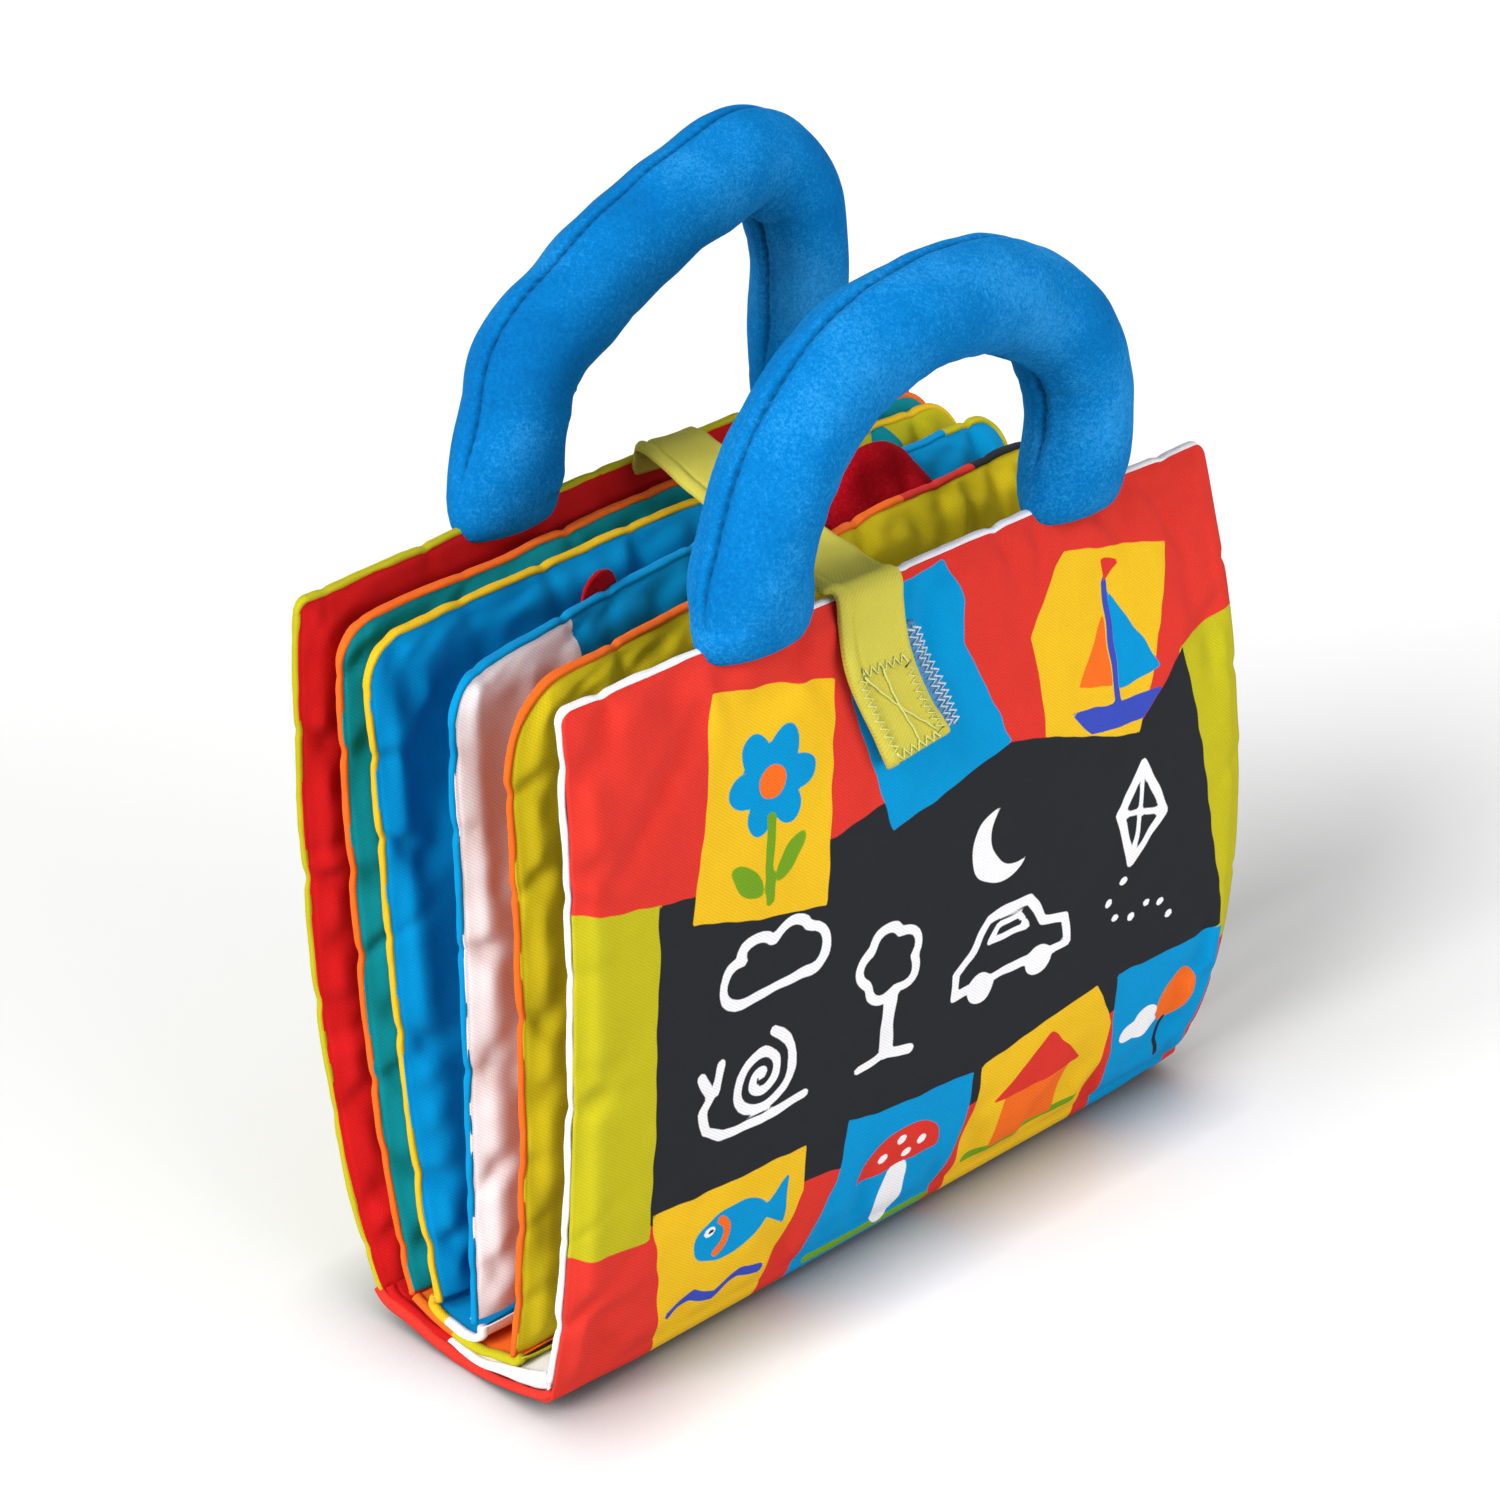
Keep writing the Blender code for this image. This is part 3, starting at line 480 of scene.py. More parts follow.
def settle(points, cap):
    """Blender's cloth on a coarse grid whose edges are sewn down: the cloth is cut a little too
    large, is blown up from inside and wrinkles along its seams. Returns how far each point
    moved, held under cap."""
    rows, columns = points.shape[:2]
    made = mesh_piece("settling_cloth", points, grid_faces(rows, columns).tolist(), [])
    edge = np.zeros((rows, columns), bool)
    edge[[0, -1]] = True
    edge[:, [0, -1]] = True
    group = made.vertex_groups.new(name="seam")
    group.add(np.flatnonzero(edge.ravel()).tolist(), 1.0, "REPLACE")
    cloth = made.modifiers.new("settling", "CLOTH")
    rules = cloth.settings
    rules.quality = 6
    rules.mass = 0.12
    rules.tension_stiffness = 12
    rules.compression_stiffness = 12
    rules.shear_stiffness = 4
    rules.bending_stiffness = 0.02
    rules.use_pressure = True
    rules.uniform_pressure_force = PRESSURE
    rules.shrink_min = -SLACK_SHARE
    rules.vertex_group_mass = "seam"
    rules.effector_weights.gravity = 0
    cloth.collision_settings.use_collision = False
    scene = bpy.context.scene
    for step in range(1, SETTLING_STEPS + 1):
        scene.frame_set(step)
    seen = made.evaluated_get(bpy.context.evaluated_depsgraph_get())
    flat = np.empty(rows * columns * 3, np.float32)
    seen.data.vertices.foreach_get("co", flat)
    scene.frame_set(1)
    moved = flat.reshape(rows, columns, 3) / MM - points
    data = made.data
    bpy.data.objects.remove(made)
    bpy.data.meshes.remove(data)
    far = np.linalg.norm(moved, axis=-1, keepdims=True)
    return moved * np.minimum(1, cap / np.maximum(far, 1e-6))


def spline_weights(coarse, fine):
    """Weights that carry values at the coarse places to the fine ones along smooth cubics."""
    at = np.clip(np.searchsorted(coarse, fine, side="right") - 1, 0, len(coarse) - 2)
    share = (fine - coarse[at]) / (coarse[at + 1] - coarse[at])
    weights = np.zeros((len(fine), len(coarse)))
    row = np.arange(len(fine))
    cubic = (
        -0.5 * share**3 + share**2 - 0.5 * share,
        1.5 * share**3 - 2.5 * share**2 + 1,
        -1.5 * share**3 + 2 * share**2 + 0.5 * share,
        0.5 * share**3 - 0.5 * share**2,
    )
    for offset, part in zip((-1, 0, 1, 2), cubic):
        np.add.at(weights, (row, np.clip(at + offset, 0, len(coarse) - 1)), part)
    return weights


# Leaves


def inset_half_width(leaf, h, inset):
    """Half width at height h of the outline moved in by inset: rounded top corners and sides
    drawn in by half a sine wave."""
    radius = max(leaf.corner - inset, 0.6)
    top = leaf.height - inset
    down = np.clip(top - h, 0, radius)
    arc = np.sqrt(radius**2 - (radius - down) ** 2)
    draw = SIDE_DRAW * np.sin(PI * np.clip(h / leaf.height, 0, 1))
    return leaf.width / 2 - inset - radius + arc - draw


def face_rows(leaf, inset, step):
    """Heights of a face's rows: even, then closer round the top corners."""
    radius = max(leaf.corner - inset, 0.6)
    top = leaf.height - inset
    even = np.linspace(0, top - radius, max(3, round((top - radius) / step)))
    turns = np.linspace(0, PI / 2, max(4, round(radius * 1.6 / step) + 2))[1:]
    return np.concatenate([even, top - radius + radius * np.sin(turns)])


def seam_half_width(leaf, h):
    """Half width at height h inside the rim, held at its value just under the top seam."""
    return inset_half_width(leaf, np.minimum(h, leaf.height - leaf.rim - 0.5), leaf.rim)


def seam_distance(leaf, x, h):
    """How far a point lies inside the side seam and the top seam."""
    half = seam_half_width(leaf, h)
    return np.clip(half - np.abs(x), 0, None), np.clip(leaf.height - leaf.rim - h, 0, None)


def crown(leaf, x, h, puff):
    """Half the padding's thickness: full in the field, rounded down to the seams all round as
    a pillow is, with a roll of wadding just inside the side and top seams."""
    side, top = seam_distance(leaf, x, h)
    low = np.clip(h + 4, 0, None)

    def rounded(away):
        return np.sqrt(1 - (1 - np.minimum(away / 9, 1)) ** 2)

    swell = rounded(side) * rounded(top) * (1 - np.exp(-low / 8))
    across = np.abs(x) / np.maximum(side + np.abs(x), 1)
    up = np.clip(2 * h / (leaf.height - leaf.rim) - 1, -1, 1)
    body = (EDGE_THICK + (LEAF_THICK - EDGE_THICK) * (1 - across**4) * (1 - up**4)) / 2
    near = np.minimum(side, top)
    body = body + puff * bell((near - 6.5) / 5.5)
    return leaf.tuck + (body - leaf.tuck) * swell


# A dent's depth, width, slope and how far in it runs, least and most, and what lies between
# two of them along a seam
DENT_RANGES = ((0.7, 2.1), (1.3, 2.6), (-0.7, 0.7), (7, 19))
DENT_SPACING = (19, 42)
FIRST_DENT = (8, 22)


def dent_rows(leaf, mark, length):
    """Dents of one seam, where the stitching pulls: place along it, depth, width, slope and
    how far in each one runs."""
    rng = np.random.default_rng(700 + 10 * leaf.place + mark)
    place, rows = rng.uniform(*FIRST_DENT), []
    while place < length - 5:
        rows.append((place, *(rng.uniform(*ends) for ends in DENT_RANGES)))
        place += rng.uniform(*DENT_SPACING)
    return rows


def seam_dents(along, inward, rows):
    """Narrow valleys square to a seam that fade as they run inward."""
    total = 0
    for place, depth, width, slope, reach in rows:
        off = (along - place - slope * inward) / (width + 0.15 * inward)
        total = total + depth * np.exp(-off * off - inward / reach)
    return total


def leaf_dents(leaf, x, h):
    """The dents of the left, right and top seams at a point of the leaf."""
    half = seam_half_width(leaf, h)
    below = np.clip(leaf.height - leaf.rim - h, 0, None)
    left = seam_dents(h, np.clip(half + x, 0, None), dent_rows(leaf, 1, leaf.height))
    right = seam_dents(h, np.clip(half - x, 0, None), dent_rows(leaf, 2, leaf.height))
    over = seam_dents(x + leaf.width / 2, below, dent_rows(leaf, 3, leaf.width))
    return left * smooth(h, 0, 12), right * smooth(h, 0, 12), over


class Face(NamedTuple):
    """How one face of a leaf is worked: its side, grid step, wrinkle seed, how far it may
    swell, the height of its soft folds, its own creases in x, h, x, h, width, depth, and the
    height of the roll inside its seams."""

    side: int
    step: float
    seed: int
    swell: float
    folds: float
    creases: tuple = ()
    puff: float = 0.5


def pucker(leaf, x, h, seed):
    """Folds that start at the seams, long ones every 24 mm and short ones between, each fading
    as it runs inward."""
    side, top = seam_distance(leaf, x, h)
    start = 1 - np.exp(-np.minimum(side, top) / 1.0)
    long_side = ripples(h, side * 0.12, 24, seed) * np.exp(-side / 17)
    short_side = ripples(h, side * 0.2, 10, seed + 1) * np.exp(-side / 6)
    long_top = ripples(x, top * 0.12, 30, seed + 2) * np.exp(-top / 13)
    short_top = ripples(x, top * 0.2, 12, seed + 3) * np.exp(-top / 6)
    return start * (0.6 * long_side + 0.35 * short_side + 0.4 * long_top + 0.3 * short_top)


def crease_lift(x, h, creases):
    """Straight creases: a narrow valley beside a low ridge, both fading at their ends."""
    lift = 0 * x
    for x0, h0, x1, h1, width, depth in creases:
        length = math.hypot(x1 - x0, h1 - h0)
        along = ((x - x0) * (x1 - x0) + (h - h0) * (h1 - h0)) / length
        off = ((x - x0) * (h1 - h0) - (h - h0) * (x1 - x0)) / length
        ends = smooth(along, -width, 2 * width) * (1 - smooth(along, length * 0.45, length + width))
        lift = lift + depth * ends * (0.7 * bell((off - 1.6 * width) / width) - bell(off / width))
    return lift


def face_points(leaf, face, share, h):
    """The face over its middle surface: crown, seam puckers, dents, creases and soft folds."""
    half = inset_half_width(leaf, h, leaf.rim - FACE_OVERLAP)
    x = share * half[:, None]
    height = h[:, None] + 0 * x
    lift = crown(leaf, x, height, face.puff)
    fade = np.clip((lift - leaf.tuck) / (LEAF_THICK / 2 - leaf.tuck), 0, 1)
    lift = lift + 0.9 * smooth(height, 0, 25) * pucker(leaf, x, height, face.seed)
    left, right, over = leaf_dents(leaf, x, height)
    lift = lift - 0.95 * (left + right + over) * np.clip(fade * 1.6, 0.15, 1)
    broad = ripples(x + 0.4 * height, height, 46, face.seed + 4)
    fine = ripples(x, 0.6 * height, 19, face.seed + 5)
    lift = lift + face.folds * fade * (0.7 * broad + 0.3 * fine) + crease_lift(x, height, face.creases)
    x = x + DRAW_ALONG_SHARE * (left - right)
    height = height - DRAW_IN_SHARE * over
    y = slack_y(leaf, x, leaf.fold_z + height) + face.side * np.maximum(lift, SEAM_THICK)
    return np.stack([x, y, leaf.fold_z + height], -1)


def leaf_face(leaf, face):
    """A leaf's face from fold to top seam as points, and its weave map."""
    inset = leaf.rim - FACE_OVERLAP
    h = face_rows(leaf, inset, face.step)
    columns = max(9, round(leaf.width / face.step))
    even = np.linspace(-1, 1, columns + 1)
    share = even + (0.06 if face.step < 1.2 else 0.18) * np.sin(PI * even)
    points = face_points(leaf, face, share, h)
    if face.swell:
        coarse_h = face_rows(leaf, inset, SETTLING_GRID)
        coarse_share = np.linspace(-1, 1, round(leaf.width / SETTLING_GRID) + 1)
        start = face_points(leaf, face, coarse_share, coarse_h)
        turned = start[:, ::-face.side] if face.side > 0 else start
        moved = settle(turned, face.swell)
        moved = moved[:, ::-1] if face.side > 0 else moved
        up, over = spline_weights(coarse_h, h), spline_weights(coarse_share, share)
        side, top = seam_distance(leaf, points[..., 0], points[..., 2] - leaf.fold_z)
        near = smooth(np.minimum(side, top), 0.3, 6)[..., None]
        points = points + near * np.einsum("ij,jkc,lk->ilc", up, moved, over)
    return points, np.stack([points[..., 0], points[..., 2] - leaf.fold_z], -1)


class Cloth:
    """A face's finished surface, for what is sewn on it or lies against it."""

    def __init__(self, points, side):
        rows, columns = points.shape[:2]
        faces = grid_faces(rows, columns).tolist()
        self.tree = BVHTree.FromPolygons(points.reshape(-1, 3).tolist(), faces)
        self.side = side

    def y(self, x, z, otherwise=0.0):
        """Where lines along Y meet the surface from its outer side."""
        x, z = np.broadcast_arrays(np.asarray(x, float), np.asarray(z, float))
        start, way = 400.0 * self.side, Vector((0, -self.side, 0))
        met = [self.tree.ray_cast((a, start, b), way)[0] for a, b in zip(x.ravel(), z.ravel())]
        return np.array([spot.y if spot else otherwise for spot in met]).reshape(x.shape)


# Millimetres of weave for each radian round a leaf's foot and round a cover's outer foot
FOOT_WEAVE = 3
COVER_FOOT_WEAVE = 9.5


def rolled_foot(leaf, points, uv):
    """Rows added under the fold, a quarter round that closes the leaf under its middle."""
    turns = np.linspace(0, PI / 2, 6)[1:][::-1]
    first = points[0]
    middle = slack_y(leaf, first[:, 0], np.full(len(first), float(leaf.fold_z)))
    depth = first[:, 1] - middle
    rows = []
    for turn in turns:
        y = middle + depth * math.cos(turn)
        z = leaf.fold_z - np.abs(depth) * math.sin(turn) + 0 * y
        rows.append(np.stack([first[:, 0], y, z], -1))
    maps = [np.stack([uv[0, :, 0], uv[0, :, 1] - FOOT_WEAVE * turn], -1) for turn in turns]
    return np.concatenate([np.stack(rows), points]), np.concatenate([np.stack(maps), uv])


def outline(leaf, inset, count=420):
    """The U-shaped outline moved in by inset, from the left foot over the top to the right,
    with its outward direction in the leaf's plane."""
    radius = leaf.corner - inset
    top = leaf.height - inset
    half = leaf.width / 2 - inset
    if radius < 1.5:
        radius = 1.5
    turns = np.linspace(0, PI / 2, 14)[1:]
    side_h = np.linspace(-1.5, top - radius, count // 3)
    draw = SIDE_DRAW * np.sin(PI * np.clip(side_h / leaf.height, 0, 1))
    left = np.stack([-half + draw, side_h], -1)
    arc = np.stack([-half + radius - radius * np.cos(turns), top - radius + radius * np.sin(turns)], -1)
    span = np.linspace(-half + radius, half - radius, count // 2)[1:-1]
    over = np.stack([span, np.full(len(span), top)], -1)
    line = np.vstack([left, arc, over, (arc * (-1, 1))[::-1], (left * (-1, 1))[::-1]])
    run = unit(np.gradient(line, axis=0))
    return line, np.stack([-run[:, 1], run[:, 0]], -1)


def leaf_rim(leaf, coat, seed, back=0.0, fields=None, low=-1.5):
    """The back cloth rolled over the edge: a flattened cord round the outline, moved towards
    the back, uneven in width as a turned seam is, and drawn in at every dent."""
    line, out = outline(leaf, RIM_INSET)
    kept = line[:, 1] >= low
    line, out = line[kept], out[kept]
    length = run_length(line)
    left, right, over = leaf_dents(leaf, line[:, 0], line[:, 1])
    dent = left + right + over
    waver = 0.3 * ripple_line(length, 30, seed + 2) + 0.06 * ripple_line(length, 8, seed + 4)
    drawn = np.stack([DRAW_ALONG_SHARE * (left - right), -DRAW_IN_SHARE * over], -1)
    plane = line + out * waver[:, None] + drawn
    wobble = 0.12 * ripple_line(length, 13, seed) + 0.08 * ripple_line(length, 5, seed + 5)
    level = out[:, 1] ** 2
    uneven = 0.12 * ripple_line(length, 11, seed + 1)
    half_deep = RIM_HALF_DEEP * (0.74 + 0.38 * level + uneven - 0.1 * dent)
    x, h = plane[:, 0], plane[:, 1]
    y = slack_y(leaf, x, leaf.fold_z + h) + back + 0.3 * ripple_line(length, 26, seed + 3)
    centres = np.stack([x, y, leaf.fold_z + h], -1)
    outward = np.stack([out[:, 0], 0 * x, out[:, 1]], -1)
    angle = full_turn(14)
    points = oval_rings(centres, angle, outward, RIM_HALF_WIDE * (1 + wobble), (0, 1, 0), half_deep)
    uv = tube_weave(angle, 1.7, length)
    wide, tall = (np.broadcast_to(each[:, None], uv.shape[:2]) for each in (x, h))
    ring_fields = {name: make(wide, tall) for name, make in (fields or {}).items()}
    return tube_piece(f"{leaf.name}_rim", points[:, ::-1], uv, coat, ring_fields)


def stitch_row(name, places, outward, coat, pitch, dash, radius):
    """A row of thread dashes along a line of places: each a short cord whose ends dip in."""
    length = run_length(places)
    starts = np.arange(pitch / 2, length[-1] - dash, pitch)
    turns = full_turn(6)
    steps = np.linspace(0, 1, 5)
    at = starts[:, None] + dash * steps
    spots = np.stack([np.interp(at, length, places[:, axis]) for axis in range(3)], -1)
    out = unit(np.stack([np.interp(at, length, outward[:, axis]) for axis in range(3)], -1))
    spots = spots + out * (radius * 1.2 * np.sin(PI * steps) - radius * 0.5)[None, :, None]
    run = unit(np.gradient(spots, axis=1))
    side = unit(np.cross(run, out))
    thin = radius * np.array((0.35, 0.9, 1, 0.9, 0.35))
    ring = side[:, :, None] * np.cos(turns)[:, None] + out[:, :, None] * np.sin(turns)[:, None]
    points = spots[:, :, None] + ring * thin[None, :, None, None]
    count, per = len(starts), len(steps) * len(turns)
    faces = grid_faces(len(steps), len(turns), around=True, flip=True)
    caps = np.stack([np.arange(len(turns)), np.arange(len(turns))[::-1] + per - len(turns)])
    every = (faces[None] + per * np.arange(count)[:, None, None]).reshape(-1, 4).tolist()
    every += (caps[None] + per * np.arange(count)[:, None, None]).reshape(-1, len(turns)).tolist()
    return mesh_piece(name, points, every, coat, points[..., :2])


# The cover's print: signed distances in millimetres, negative inside a shape


def blob(u, v, x, y, rx, ry, turn=0.0):
    """Distance to an ellipse: how far over its radius a point lies, times the lesser radius."""
    a, b = u - x, v - y
    p = (a * math.cos(turn) + b * math.sin(turn)) / rx
    q = (b * math.cos(turn) - a * math.sin(turn)) / ry
    return (np.hypot(p, q) - 1) * min(rx, ry)


def stroke(u, v, line, half):
    """Distance to a drawn line of a half width, through its points."""
    best = np.full(u.shape, 1e6)
    for (ax, ay), (bx, by) in zip(line, line[1:]):
        dx, dy = bx - ax, by - ay
        share = np.clip(((u - ax) * dx + (v - ay) * dy) / (dx * dx + dy * dy), 0, 1)
        best = np.minimum(best, np.hypot(u - ax - share * dx, v - ay - share * dy))
    return best - half


def patch(u, v, corners):
    """Distance to a polygon: to its nearest side, negative where a ray crosses an odd count."""
    closed = list(corners) + [corners[0]]
    inside = np.zeros(u.shape, bool)
    for (ax, ay), (bx, by) in zip(closed, closed[1:]):
        if ay != by:
            crosses = (ay > v) != (by > v)
            inside ^= crosses & (u < ax + (v - ay) * (bx - ax) / (by - ay))
    away = stroke(u, v, closed, 0)
    return np.where(inside, -away, away)


def arc_line(x, y, rx, ry, start, end, count=14):
    turns = np.radians(np.linspace(start, end, count))
    return [(x + rx * math.cos(t), y + ry * math.sin(t)) for t in turns]


def chalk_doodles(u, v):
    """White doodles over the dark field: a snail, a cloud, a tree, a moon, a car and a kite on
    a dotted way, drawn with a blunt chalk line."""
    turns = np.linspace(0.9, 4.4 * PI, 48)
    shell = [(-63 + 0.88 * t * math.cos(t), 71 + 0.88 * t * math.sin(t)) for t in turns]
    body = [(-47, 59.5), (-62, 57.5), (-76, 58.5), (-82, 62.5), (-83.5, 69), (-80, 73.5)]
    feelers = [[(-81, 73), (-84, 79)], [(-79, 73.5), (-78, 80)]]
    cloud = arc_line(-71, 101, 6, 6, 80, 270, 10) + arc_line(-46, 101, 5.5, 6, -90, 80, 10)
    cloud += arc_line(-53, 106, 6.5, 6, 20, 150, 8) + arc_line(-65, 107, 6, 4.5, 30, 180, 8)
    crown_line = []
    for t in np.linspace(0, 2 * PI, 50):
        r = 9.2 + 2.4 * abs(math.sin(2.5 * t + 0.3))
        crown_line.append((-17.5 + r * math.cos(t), 87 + 0.9 * r * math.sin(t)))
    trunk = [(-17.5, 77), (-18, 68), (-17, 60)]
    ground = [(-27, 58), (-18, 59.5), (-8, 57.5)]
    car = [(8, 67), (8, 74), (14, 78), (20, 86), (35, 87), (41, 79.5), (50, 77.5), (51.5, 69), (8, 67)]
    window = [(21, 79), (24, 83), (32, 83.5), (35, 79.5), (21, 79)]
    kite = [(81, 112), (70, 101), (75, 85), (89, 96), (81, 112)]
    ribs = [(81, 112), (75, 85)], [(70, 101), (89, 96)]
    way = [(73, 80), (68, 74.5), (71, 68.5), (78, 66.5), (84, 69.5), (90, 68), (94, 62.5)]
    moon = np.maximum(blob(u, v, 24, 107, 11, 11), -blob(u, v, 30, 110, 9.5, 10))
    lines = [shell, body, *feelers, cloud, crown_line, ground, car, kite]
    parts = [stroke(u, v, line, 1.45) for line in lines] + [stroke(u, v, trunk, 2.4)]
    parts += [stroke(u, v, line, 0.9) for line in (window, *ribs)]
    parts += [blob(u, v, x, y, 1.5, 1.3) for x, y in way]
    parts += [blob(u, v, 18, 66, 5, 5), blob(u, v, 41, 67, 5, 5), moon]
    return np.minimum.reduce(parts)


def cover_print(u, v):
    """All inks of the front cover. Blocks of colour frame a dark field; each patch holds a
    plain nursery motif, and chalk doodles run over the field. Edges waver as cut paper does."""
    any_of = np.minimum.reduce
    u = u + 0.35 * ripples(u, v, 9, 601) + 0.7 * ripples(u, v, 40, 602)
    v = v + 0.35 * ripples(u, v, 9, 603) + 0.7 * ripples(u, v, 40, 604)
    lime = any_of([
        patch(u, v, [
            (-145, 141), (-129, 139), (-117, 135.5), (-98, 132.5), (-99, 37.4), (-116, 39.8), (-145, 49),
        ]),
        patch(u, v, [(97, 140), (118, 144.5), (145, 149), (145, 48), (127, 44.8), (108, 42)]),
    ])
    dark = patch(u, v, [
        (-98.7, 132.4), (-87, 130), (-37.5, 129.7), (-18.4, 133), (29.2, 134), (40.9, 131.8),
        (79.8, 124.6), (98.9, 140.3), (108.6, 96), (117.4, 50), (78, 37), (46, 29), (20, 27),
        (-30, 29), (-60, 32), (-99.3, 42),
    ])
    yellow = any_of([
        patch(u, v, [
            (-78.7, 180.3), (-35.8, 171.4), (-38.3, 142.2), (-40.1, 111.2), (-87, 122.5), (-81.6, 154),
        ]),
        patch(u, v, [
            (55.4, 178.5), (99.1, 169.7), (89, 145.2), (79.7, 122.3), (40.9, 131.8), (39.4, 160.4),
        ]),
        patch(u, v, [
            (-98.5, 44.6), (-44.7, 42), (-44, 27.4), (-49.8, 6.3), (-56, -16), (-88, -16),
            (-91.8, 7.6), (-95.9, 26.4),
        ]),
        patch(u, v, [
            (21.9, 39.7), (65.6, 48.9), (76.7, 32.8), (77.7, 8.7), (76, -16), (20, -16), (22.2, 2.5),
            (23.5, 20.5),
        ]),
    ])
    sky = any_of([
        patch(u, v, [
            (-32.6, 183.9), (10.7, 188.3), (14.4, 176.8), (12.5, 166.7), (22.2, 147.7), (29.2, 134),
            (-17.4, 124.9), (-23.6, 142.8), (-30, 163.6),
        ]),
        patch(u, v, [
            (-29.4, 43.3), (18.9, 38.6), (19.9, 18.6), (15.1, -0.7), (10, -16), (-44, -16),
            (-38.3, 5.4), (-30.6, 24.5),
        ]),
        patch(u, v, [
            (74.1, 49), (119.2, 49.5), (124.7, 31.7), (120.4, 10.7), (116, -16), (86, -16),
            (82, 11.7), (77.6, 32.4),
        ]),
    ])
    round_the = np.linspace(0, 2 * PI, 7)[:-1]
    petals = [
        blob(u, v, -59 + 8.8 * math.cos(turn), 152 + 8.8 * math.sin(turn), 6.2, 4.8, turn)
        for turn in round_the
    ]
    fish = [blob(u, v, -70, 27, 13.5, 8.5), patch(u, v, [(-60, 27), (-50, 36), (-49.5, 19)])]
    door = patch(u, v, [(46, 9), (46, 20), (53, 20), (53, 9)])
    blue_ink = any_of(petals + fish + [patch(u, v, [(71, 165), (72, 137), (89, 138)]), door])
    orange_ink = any_of([
        blob(u, v, -59, 152, 4.6, 4.6),
        patch(u, v, [(68.5, 159), (69.5, 138), (55, 141)]),
        stroke(u, v, arc_line(-80, 27, 9, 7, -50, 50), 1.4),
        patch(u, v, [(36, 5), (36, 24), (63, 24), (63, 5)]),
        blob(u, v, 106, 30, 8, 9.5),
    ])
    violet_ink = any_of([
        patch(u, v, [(51, 135), (90, 133), (82, 126.5), (60, 127.5)]),
        stroke(u, v, [(70, 167), (71, 133)], 1.1),
        stroke(u, v, [(-88, 8), (-80, 11), (-72, 7), (-63, 10), (-55, 7)], 1.5),
    ])
    red_ink = any_of([
        patch(u, v, [(31, 23), (68, 23), (50, 40)]),
        patch(u, v, [(70, 173), (70, 167), (78, 170)]),
        np.maximum(blob(u, v, -6, 19, 15.5, 13), 18 - v),
    ])
    green_ink = any_of([
        stroke(u, v, [(-60, 142), (-62, 130), (-61, 121)], 1.5),
        blob(u, v, -54, 130, 7, 2.9, 0.7),
        blob(u, v, -69, 128, 7, 2.9, 2.4),
        stroke(u, v, [(28, 4), (72, 6)], 1.4),
        stroke(u, v, [(-34, -2), (14, -3)], 1.6),
    ])
    white_dots = [(x, y, 1.8, 1.6) for x, y in ((-13, 24), (-6, 27.5), (2, 23.5), (-3, 21.2))]
    white_dots += [(-78, 30, 1.8, 1.8), (88, 24, 5, 3.6), (93.5, 27, 5, 4.5), (94, 23, 6, 3.4)]
    stalk = np.maximum(blob(u, v, -6, 9, 5.2, 12), v - 18)
    white_ink = any_of([blob(u, v, *dot) for dot in white_dots] + [stalk, chalk_doodles(u, v)])
    string = stroke(u, v, [(106, 20.5), (104, 14), (107, 8)], 0.8)
    string_ink = any_of([string, blob(u, v, -77.6, 30, 0.9, 0.9)])
    return {
        "lime_block": lime, "dark_field": dark, "yellow_patch": yellow, "sky_patch": sky,
        "blue_ink": blue_ink, "orange_ink": orange_ink, "violet_ink": violet_ink,
        "red_ink": red_ink, "green_ink": green_ink, "string_ink": string_ink, "white_ink": white_ink,
    }


PRINT_LAYERS = (
    ("lime_block", LIME), ("dark_field", BLACK), ("yellow_patch", YELLOW), ("sky_patch", SKY),
    ("blue_ink", SKY), ("green_ink", LEAF_GREEN), ("orange_ink", ORANGE), ("violet_ink", VIOLET),
    ("red_ink", RED), ("white_ink", WHITE), ("string_ink", BLACK),
)

PLAIN_COTTONS = {
    "red": RED, "lime": LIME, "warm lime": LIME_WARMED_BY_BOUNCE, "white": WHITE, "orange": ORANGE,
    "yellow": YELLOW, "sky blue": SKY, "teal": TEAL,
}
twills = {name: cotton_twill(f"{name} cotton twill", ink) for name, ink in PLAIN_COTTONS.items()}
cover_cotton = cotton_twill("printed cover twill", RED, PRINT_LAYERS)
page_1_rim_cotton = cotton_twill(
    "orange, red and black rim twill", ORANGE, (("red_stretch", RED), ("black_stretch", BLACK))
)
page_2_cotton = cotton_twill("white and sky blue page twill", WHITE, (("sky_stretch", SKY),))
page_2_rim_cotton = cotton_twill("sky blue and lime rim twill", SKY, (("lime_stretch", LIME),))
spine_lining_cotton = cotton_twill("white and red lining twill", WHITE, (("red_stretch", LINING_RED_WITH_SHADE),))
outer_fold_cotton = cotton_twill("lime and orange fold twill", LIME, (("orange_stretch", ORANGE),))
inner_fold_cotton = cotton_twill("white and yellow fold twill", WHITE, (("yellow_stretch", YELLOW),))
# The lining's deep red is partly painted shade.
lining_cotton_with_shade = cotton_twill("deep red lining twill", LINING_RED_WITH_SHADE)
page_3_cotton = cotton_twill(
    "sky blue and lime page twill", SKY, (("lime_stretch", LIME), ("teal_blot", TEAL))
)

# The spine's underside: its flat half width, its height over the floor, the slope of the V at
# its ends and where along the spine that begins and is full
FLAT_HALF_WIDTH = 24
UNDERSIDE_Z = 0.35
END_SLOPE = 0.16
END_START, END_FULL = 92, 125


def end_lift(x, y):
    """How far the spine's underside is drawn up near its ends: a shallow V over y."""
    return END_SLOPE * smooth(np.abs(x), END_START, END_FULL) * np.clip(np.abs(y) - 5, 0, None)


